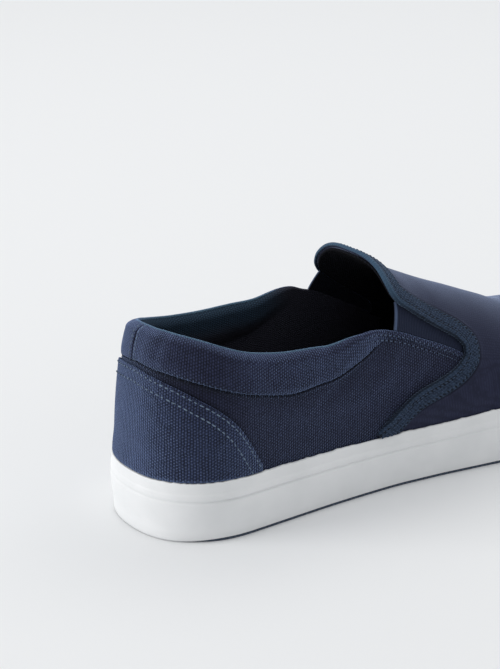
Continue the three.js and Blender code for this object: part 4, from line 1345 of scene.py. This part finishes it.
RIB_PITCH = 1.05
RIB_TICK = 0.6


def elastic_look():
    """Ribbed elastic: fine upright ribs with short covered threads."""
    look = Look("ribbed_elastic", even(0.9, 0.15, 0.15, 0.4, paint("9fb2e0")))
    u, v = look.cloth()
    rib = u / RIB_PITCH
    ribs = rib.ridges()
    ticks = (v / RIB_TICK + rib.floor() * 0.5).swings()
    height = ribs * 0.75 + ticks * ribs * 0.25
    edge = u.ramp(1.2, 0.8)
    colour = look.blend("151a28", "262d42", height)
    rim = look.blend(colour, "566684", edge * 0.75)
    # The back face, seen from inside the shoe, is painted near black as shade.
    look.set("Base Color", look.blend(rim, "0b0d15", look.mark("inside")))
    look.bump(height, 0.16)
    return look.material


# Across the tape: pitch of its rows of bars and the places of its two dotted rows; then along it
TAPE_ROW = 1.15
TAPE_DOT_ROWS = (1.9, 6.4)
TAPE_BAR = 1.45
TAPE_DOT = 2.2


def tape_look():
    """Woven tape: small slanting bars in rows along it, dark in two dotted rows, painted shade along both
    edges and painted light high up on the tongue.
    """
    look = Look("woven_tape", even(0.9, 0.2, 0.45, 0.35, paint("a9bfe0")))
    u, v = look.cloth()
    waver = look.noise(2.5, 2.0) - 0.5
    row = v / TAPE_ROW
    slant = (u / TAPE_BAR + waver * 0.6 + row * 0.5 + row.floor() * 0.37).swings()
    bars = slant * ((v + waver * 0.5) / TAPE_ROW).ridges()
    fibre = look.noise(0.5, 2.0)
    mottle = look.noise(1.3, 2.0)
    woven = look.blend("131b29", "3b4c66", bars * 0.5 + (fibre - 0.5) * 0.8 + (mottle - 0.5) * 1.2 + 0.25)
    # Painted light: the tape grows paler high up on the tongue, most along its lip.
    tongue_painted_light = look.axis("Z").ramp(76.0, 96.0)
    colour = look.blend(woven, "3b5268", v.ramp(7.2, 8.0) * (tongue_painted_light * 0.8 + 0.1) + tongue_painted_light * 0.15)
    dots = ((u / TAPE_DOT + waver * 0.4) * math.tau).sine().ramp(-0.4, 0.5)
    low, high = (abs(v - place).ramp(1.0, 0.3) for place in TAPE_DOT_ROWS)
    sunk = low.larger(high)
    # Painted shade along both edges, less of it high up on the tongue, joined with the dark of the dotted
    # rows.
    dark = (dots * sunk * 0.85).larger(v.ramp(0.8, 0.2)).larger(v.ramp(8.3, 9.0) * (0.6 - tongue_painted_light * 0.6))
    look.set("Base Color", look.blend(colour, "06080e", dark))
    look.bump(bars * 0.5 + fibre * 0.2 + (1 - dots * sunk) * 0.5, 0.4)
    return look.material


def thread_look(name, dark, light):
    """Sewing thread with its twist."""
    look = Look(name, even(0.85, 0.15))
    fibre = look.noise(0.35, 1.0)
    shade = look.noise(5, 1.0)
    look.set("Base Color", look.blend(dark, light, fibre * 0.7 + shade * 0.5))
    look.bump(fibre, 0.1)
    return look.material


def white_rubber_look():
    """Moulded white rubber: faint clouding, fine pits, painted shade in the groove and grime low on the
    wall.
    """
    look = Look("white_rubber", even(0.5, 0.4))
    cloud = look.noise(22, 3.0)
    fine = look.noise(0.9, 3.0, 0.6)
    dust = look.noise(3.2, 4.0, 0.65)
    groove = look.mark("groove")
    colour = look.blend("ecedee", "dddfe0", cloud.ramp(0.3, 0.8) * 0.5)
    low = look.axis("Z").ramp(5.0, 1.0)
    # Painted shade in the foxing's groove by its mark, with dusty grime low on the wall and in specks.
    groove_shade_and_dust = (groove * 0.14 + low * 0.1 * dust + dust.ramp(0.68, 0.76) * 0.04).held()
    look.set("Base Color", look.blend(colour, "8d8f94", groove_shade_and_dust))
    look.set("Roughness", 0.44 + cloud * 0.16 + groove_shade_and_dust * 0.2)
    look.bump(fine * 0.7 + dust * 0.3, 0.05)
    return look.material


# The fine wave on the tread: how far apart its lines are and how long one sway of them
WAVE_PITCH = 2.5
WAVE_SWAY = 9


def blue_rubber_look():
    """Slate blue rubber with a fine waved tread and scuffs."""
    look = Look("blue_rubber", even(0.7, 0.3))
    x = look.axis("X")
    y = look.axis("Y")
    wave = (y / WAVE_PITCH + (x / WAVE_SWAY * math.tau).sine() * 0.45).swings()
    scuff = look.noise(6, 5.0, 0.7)
    colour = look.blend("343d4c", "4f596a", wave * 0.5 + scuff * 0.5)
    look.set("Base Color", look.blend(colour, "7b828f", scuff.ramp(0.62, 0.8) * 0.4))
    look.set("Roughness", 0.6 + scuff * 0.3)
    look.bump(wave * 0.8 + scuff * 0.2, 0.4)
    return look.material


# Pitches of a cloth's threads across and along, in millimetres
CANVAS_PITCHES = (1.2, 0.7)
PIPING_PITCHES = (0.8, 0.5)
# One canvas in three copies: painted shade on the quarter, painted light on the collar and more on the
# counter.
QUARTER_CANVAS_PAINTED_SHADE = canvas_look("quarter_canvas", ("05060c", "1a1c31", "333853"), CANVAS_PITCHES, 0.4)
COLLAR_CANVAS_PAINTED_LIGHT = canvas_look("collar_canvas", ("05060d", "1c1e34", "424b6e"), CANVAS_PITCHES, 0.5)
COUNTER_CANVAS_PAINTED_LIGHT = canvas_look("counter_canvas", ("05060e", "1c2138", "4c5a82"), CANVAS_PITCHES, 0.66)
VAMP_CANVAS = canvas_look("vamp_canvas", ("11131f", "272a42", "393e58"), CANVAS_PITCHES, 0.06,
                          show=0.32, loose=0.95, values=VAMP_SHEEN)
# Teal piping cloth, its paleness partly a painted highlight along the collar's crest.
PIPING = canvas_look("piping_cloth", ("24364a", "48647a", "7793a6"), PIPING_PITCHES, 0.12)
ELASTIC = elastic_look()
TAPE = tape_look()
LINING = lining_look()
FOOTBED = knit_look("footbed_knit", "090a0f", "1a1c26", 1.2).material
WHITE = white_rubber_look()
BLUE = blue_rubber_look()
PALE_THREAD = thread_look("pale_thread", "3c4a62", "8092a6")
FRONT_THREAD = thread_look("front_thread", "323e58", "6a7993")
DARK_THREAD_AND_HOLE_SHADE = thread_look("dark_thread_and_hole_shade", "05060b", "10131c")
TAPE_THREAD = thread_look("tape_thread", "1c2738", "46566e")


# Stitches

STITCH_SIDES = 7
STITCH_RINGS = 5


def stitch_tree():
    """Threads along lines: one bead of thread at each pitch, a little uneven."""
    tree = bpy.data.node_groups.new("stitch_rows", "GeometryNodeTree")
    graph = Graph(tree)
    kinds = {"Geometry": "Geometry", "Pitch": "Float", "Thread": "Float", "Length": "Float",
             "Uneven": "Float", "Seed": "Int", "Look": "Material"}
    for name, kind in kinds.items():
        tree.interface.new_socket(name, in_out="INPUT", socket_type="NodeSocket" + kind)
    tree.interface.new_socket("Geometry", in_out="OUTPUT", socket_type="NodeSocketGeometry")
    given = graph.node("NodeGroupInput", {}, {})
    line = graph.node("GeometryNodeMeshToCurve", {}, {"Mesh": given.out("Geometry")})
    spots = graph.node("GeometryNodeCurveToPoints", {"mode": "LENGTH"},
                       {"Curve": line.out("Curve"), "Length": given.out("Pitch")})
    bead = graph.node("GeometryNodeMeshUVSphere", {},
                      {"Segments": STITCH_SIDES, "Rings": STITCH_RINGS, "Radius": 0.5})
    size = graph.node("ShaderNodeCombineXYZ", {}, {"X": given.out("Thread"), "Y": given.out("Thread"),
                                                   "Z": given.out("Length")})
    change = graph.node("FunctionNodeRandomValue", {"data_type": "FLOAT_VECTOR"},
                        {"Min": (0.85, 0.85, 0.8), "Max": (1.15, 1.15, 1.12), "Seed": given.out("Seed")})
    scale = graph.node("ShaderNodeVectorMath", {"operation": "MULTIPLY"}, {})
    graph.feed(scale.node.inputs[0], size.out("Vector"))
    graph.feed(scale.node.inputs[1], change.out("Value"))
    lean = graph.node("FunctionNodeRandomValue", {"data_type": "FLOAT_VECTOR"},
                      {"Min": (-1, -1, -1), "Max": (1, 1, 1), "Seed": given.out("Seed")})
    turn = graph.node("ShaderNodeVectorMath", {"operation": "SCALE"},
                      {"Vector": lean.out("Value"), "Scale": given.out("Uneven")})
    aim = graph.node("FunctionNodeRotateRotation", {"rotation_space": "LOCAL"},
                     {"Rotation": spots.out("Rotation"), "Rotate By": turn.out("Vector")})
    placed = graph.node("GeometryNodeInstanceOnPoints", {}, {
        "Points": spots.out("Points"), "Instance": bead.out("Mesh"), "Rotation": aim.out("Rotation"),
        "Scale": scale.out("Vector")})
    solid = graph.node("GeometryNodeRealizeInstances", {}, {"Geometry": placed.out("Instances")})
    painted = graph.node("GeometryNodeSetMaterial", {},
                         {"Geometry": solid.out("Geometry"), "Material": given.out("Look")})
    graph.node("NodeGroupOutput", {}, {"Geometry": painted.out("Geometry")})
    return tree


STITCHES = stitch_tree()


def stitch_rows(name, lines, pitch, thread, length, look, slot, seed, uneven=0.12):
    """Rows of stitches along lines of points, in millimetres, as one piece."""
    points = np.concatenate(lines) * MM
    edges = []
    start = 0
    for line in lines:
        edges += [(start + i, start + i + 1) for i in range(len(line) - 1)]
        start += len(line)
    mesh = bpy.data.meshes.new(name + "_lines")
    mesh.from_pydata(points.tolist(), edges, [])
    guide = into_scene(bpy.data.objects.new(name + "_lines", mesh))
    modifier = guide.modifiers.new("stitches", "NODES")
    modifier.node_group = STITCHES
    values = {"Pitch": pitch * MM, "Thread": thread * MM, "Length": length * MM, "Uneven": uneven,
              "Seed": seed, "Look": look}
    for item in STITCHES.interface.items_tree:
        if item.in_out == "INPUT" and item.name in values:
            modifier[item.identifier] = values[item.name]
    evaluated = guide.evaluated_get(bpy.context.evaluated_depsgraph_get())
    sewn = bpy.data.meshes.new_from_object(evaluated)
    bpy.data.objects.remove(guide)
    sewn.shade_smooth()
    return dress(into_scene(bpy.data.objects.new(name, sewn)), look, slot)


def moved_line(turn, side, height, distance):
    """A line on the upper moved down from an edge line, square to it: turn, side and height."""
    run = signed_run(turn, side)
    along = unit(np.stack([np.gradient(run), np.gradient(height)], axis=-1))
    along *= np.where(along[:, :1] < 0, -1, 1)
    run = run + along[:, 1] * distance
    height = height - along[:, 0] * distance
    new_side = np.where(run < 0, INNER, OUTER)
    new_turn = np.where(run < 0, turn_at(-run, INNER), turn_at(run, OUTER))
    return new_turn, new_side, height


def sewn_line(turn, side, height, out):
    return on_last_at_height(turn, side, height, out + heel_draw(turn, side, height))


# Pieces of the upper

stations = signed_stations(QUARTER_FRONT_TURN, QUARTER_STATIONS)
dress(wrap_shell("quarter_cloth", quarter_profile, QUARTER_STEPS, stations, CLOTH,
                 quarter_relief, quarter_shade), QUARTER_CANVAS_PAINTED_SHADE, "canvas", "upper")
collar = wrap_shell("collar_pad", collar_profile, COLLAR_STEPS, stations, CLOTH,
                    collar_relief, collar_shade)
dress(collar, COLLAR_CANVAS_PAINTED_LIGHT, "canvas", "upper")
dress(wrap_shell("quarter_lining", lining_profile, LINING_STEPS,
                 signed_stations(QUARTER_FRONT_TURN, LINING_STATIONS), LINING_CLOTH,
                 heel_draw, turned_mark), LINING, "footbed", "upper")
vamp_sheet("vamp_cloth", VAMP_GRID, vamp_face, even_face(-0.02), VAMP_CANVAS, "canvas", "upper")
vamp_sheet("vamp_lining", VAMP_LINING_GRID, even_face(-0.3), even_face(-VAMP_INNER),
           FOOTBED, "footbed", "upper")
dress(wrap_shell("counter_cloth", counter_profile, COUNTER_STEPS,
                 signed_stations(COUNTER_FRONT_TURN, COUNTER_STATIONS), COUNTER_THICKNESS - 0.05,
                 counter_relief, foot_shade), COUNTER_CANVAS_PAINTED_LIGHT, "counter_canvas", "heel_counter")
gore("outer_gore", OUTER, ELASTIC, "gore_outer")
gore("inner_gore", INNER, ELASTIC, "gore_inner")
throat_tape(TAPE)


# Piping along the collar's crest

PIPING_RADIUS = 0.7
PIPING_SIDES = 10
PIPING_END_TURN = 0.41
PIPING_TAPER = 40
PIPING_TIP = 0.02
PIPING_STATIONS = 700
PIPING_SINK = 0.1


def tube(name, line, radius, sides):
    """A closed tube along a line of points, in millimetres."""
    along = unit(np.gradient(line, axis=0))
    across = unit(np.cross(along, (0, 0, 1)))
    upright = np.cross(across, along)
    angle = np.linspace(0, math.tau, sides, endpoint=False)[:, None, None]
    from_end = np.minimum(np.arange(len(line)), np.arange(len(line))[::-1])
    taper = smooth(from_end / PIPING_TAPER)[None, :, None]
    rim = radius * (np.cos(angle) * across + np.sin(angle) * upright) * mix(PIPING_TIP, 1, taper)
    points = (line + rim).transpose(1, 0, 2)
    index = np.arange(len(line) * sides).reshape(len(line), sides)
    index = np.concatenate([index, index[:, :1]], axis=1)
    round_about = np.linspace(0, math.tau * radius, sides, endpoint=False)
    uv = np.stack(np.broadcast_arrays(run_along(line)[:, None], round_about), axis=-1)
    return make_mesh(name, points, grid_faces(index), uv, join=0.05)


def crest_line():
    turn, side = signed_stations(PIPING_END_TURN, PIPING_STATIONS)
    height, out = crest_meeting(quarter_lines(turn, side))
    return sewn_line(turn, side, height - PIPING_SINK, out)


dress(tube("crest_piping", crest_line(), PIPING_RADIUS, PIPING_SIDES), PIPING, "tape")


# Sewn rows

COUNTER_ROWS = (1.5, 6.0)
FRONT_ROWS = (2.3, 4.6)
FRONT_ROW_TURNS = (0.402, 0.516)
TAPE_ROWS = (1.5, 5.3)
BACK_ROWS = (-2.2, 2.2)
SEAM_ROW_TURN = 0.41
COUNTER_ROW_STATIONS = 400
SEAM_ROW_STATIONS = 600
FRONT_ROW_STATIONS = 160
# How far the threads' middle lies out from the cloth below
COUNTER_THREAD_OUT = 0.08
SEAM_THREAD_OUT = 0.28
FRONT_THREAD_OUT = 0.12
TAPE_THREAD_OUT = 0.3
BACK_THREAD_OUT = 0.1
SEAM_THREAD_UP = 0.15


def counter_rows():
    lines = []
    out = COUNTER_OUT + COUNTER_THREAD_OUT
    turn, side = signed_stations(COUNTER_FRONT_TURN, COUNTER_ROW_STATIONS)
    for distance in COUNTER_ROWS:
        new_turn, new_side, height = moved_line(turn, side, counter_top(turn), distance)
        keep = height > foxing_top(new_turn) + EDGE_CLEAR + 0.5
        lines.append(sewn_line(new_turn[keep], new_side[keep], height[keep], out))
    return lines


def seam_row():
    turn, side = signed_stations(SEAM_ROW_TURN, SEAM_ROW_STATIONS)
    cut = quarter_lines(turn, side)
    out = -COLLAR_SEAM_DEPTH * cut["pad"] + SEAM_THREAD_OUT
    return [sewn_line(turn, side, cut["seam"] + SEAM_THREAD_UP, out)]


def front_rows():
    turn = np.linspace(*FRONT_ROW_TURNS, FRONT_ROW_STATIONS)
    edges = [(np.full(turn.shape, side), distance) for side in (OUTER, INNER) for distance in FRONT_ROWS]
    return [sewn_line(*moved_line(turn, sides, top_height(turn, sides), distance), FRONT_THREAD_OUT)
            for sides, distance in edges]


def tape_rows():
    turn, side, rise = throat_stations(TAPE_STATIONS)
    over = TAPE_BACK + BINDING_THICKNESS + TAPE_THREAD_OUT
    return [ahead_of_throat(turn, side, rise, distance, over) for distance in TAPE_ROWS]


def back_seam_rows():
    lines = []
    for shift in BACK_ROWS:
        run = BACK_SEAM_RUN + shift
        side = OUTER if run > 0 else INNER
        turn = float(turn_at(abs(run), side))
        rows = refine(collar_profile(np.full(1, turn), np.full(1, side)), COLLAR_STEPS)[4:-4, 0]
        lines.append(sewn_line(np.full(len(rows), turn), np.full(len(rows), side), rows[:, 0],
                               rows[:, 1] + BACK_THREAD_OUT))
    return lines


def from_half(lines, pitch):
    """The lines without their first half pitch, so that beads fall between the stitches."""
    rest = []
    for line in lines:
        run = run_along(line)
        at = np.concatenate([[pitch / 2], run[run > pitch / 2]])
        rest.append(np.stack([np.interp(at, run, line[:, axis]) for axis in range(3)], axis=-1))
    return rest


# Name, lines, pitch, thickness of the thread and length of a stitch, look, slot and seed
# The hole rows are dark beads between the stitches: painted shade in the needle holes.
for row in (
    ("counter_stitches", counter_rows(), 2.7, 0.62, 1.95, PALE_THREAD, "counter_canvas", 3),
    ("counter_holes", from_half(counter_rows(), 2.7), 2.7, 0.5, 0.6, DARK_THREAD_AND_HOLE_SHADE, "counter_canvas", 17),
    ("collar_stitches", seam_row(), 2.4, 0.6, 1.7, DARK_THREAD_AND_HOLE_SHADE, "canvas", 5),
    ("front_stitches", front_rows(), 2.5, 0.55, 1.5, FRONT_THREAD, "canvas", 7),
    ("front_holes", from_half(front_rows(), 2.5), 2.5, 0.6, 0.8, DARK_THREAD_AND_HOLE_SHADE, "canvas", 19),
    ("tape_stitches", tape_rows(), 2.3, 0.62, 1.6, TAPE_THREAD, "tape", 11),
    ("heel_stitches", back_seam_rows(), 2.3, 0.5, 1.6, PALE_THREAD, "canvas", 13),
):
    stitch_rows(*row)


# Pieces of the bottom

BEAD_SEED = 21
BEAD_WIDTHS = (2, 3, 5, 9)
BEAD_HEIGHT = 0.19
WALL_WAVE = 0.06
WALL_WAVE_RUN = 17


def foxing_relief(turn, side, rows):
    """Glue beads along the top edge and a slightly uneven wall."""
    run = signed_run(turn, side)
    chance = np.random.default_rng(BEAD_SEED)
    count = len(turn)
    beads = np.zeros(count)
    for layer, width in zip(chance.random((len(BEAD_WIDTHS), count)), BEAD_WIDTHS):
        kernel = np.hanning(2 * width + 1)
        beads += np.convolve(np.pad(layer, width, mode="wrap"), kernel / kernel.sum(), "valid")
    beads = np.clip((beads - beads.mean()) / beads.std(), -1.5, 3)
    top = foxing_top(turn)
    near_top = smooth((rows[..., 0] - (top - 0.5)) / 0.4) * (rows[..., 1] < -0.2)
    rows = rows.copy()
    rows[..., 0] += near_top * np.clip(beads, 0, 3) * BEAD_HEIGHT
    wall = (rows[..., 1] > -1.9) & (rows[..., 0] > 2)
    rows[..., 1] += wall * WALL_WAVE * np.sin(run / WALL_WAVE_RUN) * smooth((top - rows[..., 0]) / 4)
    return rows


dress(ring("foxing_band", foxing_profile, FOXING_STEPS, foxing_relief), WHITE, "white_rubber", "foxing")
outsole(BLUE)
insole(FOOTBED)

# Camera at the photograph's angle: turned in plan and tipped down, with a plain perspective.
CAMERA_TURN = math.radians(36.56)
CAMERA_TIP = math.radians(21)
CAMERA_DISTANCE = 800
CAMERA_FOCAL = 1872
FRAME_SIZE = (500, 669)
TARGET = (-1.5, -147, 0)
TARGET_PIXEL = (127.75, 527.33)
SENSOR = 36
FAR_CLIP = 20
FLOOR_SIZE = 12
SKY_COLOUR = (0.97, 0.985, 1.0, 1)
SKY_STRENGTH = 0.55


def add_camera():
    right = np.array([math.sin(CAMERA_TURN), math.cos(CAMERA_TURN), 0])
    level_ahead = np.array([-math.cos(CAMERA_TURN), math.sin(CAMERA_TURN), 0])
    upright = np.array([0, 0, 1])
    ahead = level_ahead * math.cos(CAMERA_TIP) - upright * math.sin(CAMERA_TIP)
    up = level_ahead * math.sin(CAMERA_TIP) + upright * math.cos(CAMERA_TIP)
    across = (TARGET_PIXEL[0] - FRAME_SIZE[0] / 2) / CAMERA_FOCAL * CAMERA_DISTANCE
    rise = -(TARGET_PIXEL[1] - FRAME_SIZE[1] / 2) / CAMERA_FOCAL * CAMERA_DISTANCE
    spot = np.array(TARGET) - ahead * CAMERA_DISTANCE - right * across - up * rise
    data = bpy.data.cameras.new("camera")
    data.sensor_width = SENSOR
    data.sensor_fit = "AUTO"
    data.lens = CAMERA_FOCAL * SENSOR / max(FRAME_SIZE)
    data.clip_end = FAR_CLIP
    camera = bpy.data.objects.new("camera", data)
    turn = Matrix(np.array([right, up, -ahead]).T.tolist())
    camera.matrix_world = Matrix.Translation(Vector((spot * MM).tolist())) @ turn.to_4x4()
    bpy.context.scene.camera = into_scene(camera)


def add_floor():
    bpy.ops.mesh.primitive_plane_add(size=FLOOR_SIZE)
    floor = bpy.context.object
    floor.name = "floor"
    look = Look("floor_paper", {"Roughness": 0.95, "Base Color": paint("ecedee")})
    floor.data.materials.append(look.material)


def add_light(name, place, aim, size, power, colour):
    data = bpy.data.lights.new(name, "AREA")
    data.shape = "RECTANGLE"
    data.size, data.size_y = size
    data.energy = power
    data.color = colour
    light = bpy.data.objects.new(name, data)
    light.location = place
    light.rotation_euler = (Vector(aim) - Vector(place)).to_track_quat("-Z", "Y").to_euler()
    into_scene(light)


def add_world():
    world = bpy.data.worlds.new("studio")
    world.use_nodes = True
    back = world.node_tree.nodes["Background"]
    back.inputs["Color"].default_value = SKY_COLOUR
    back.inputs["Strength"].default_value = SKY_STRENGTH
    bpy.context.scene.world = world


bpy.context.scene.view_settings.view_transform = "Standard"
add_camera()
add_floor()
add_world()
add_light("window", place=(-1.2, -2.55, 0.95), aim=(0, -0.05, 0.05), size=(1.4, 1.2), power=42,
          colour=(1.0, 0.995, 0.99))
add_light("ceiling", place=(-0.35, 0.7, 2.1), aim=(-0.15, 0.5, 0), size=(2.6, 2.6), power=24,
          colour=(1.0, 1.0, 1.0))
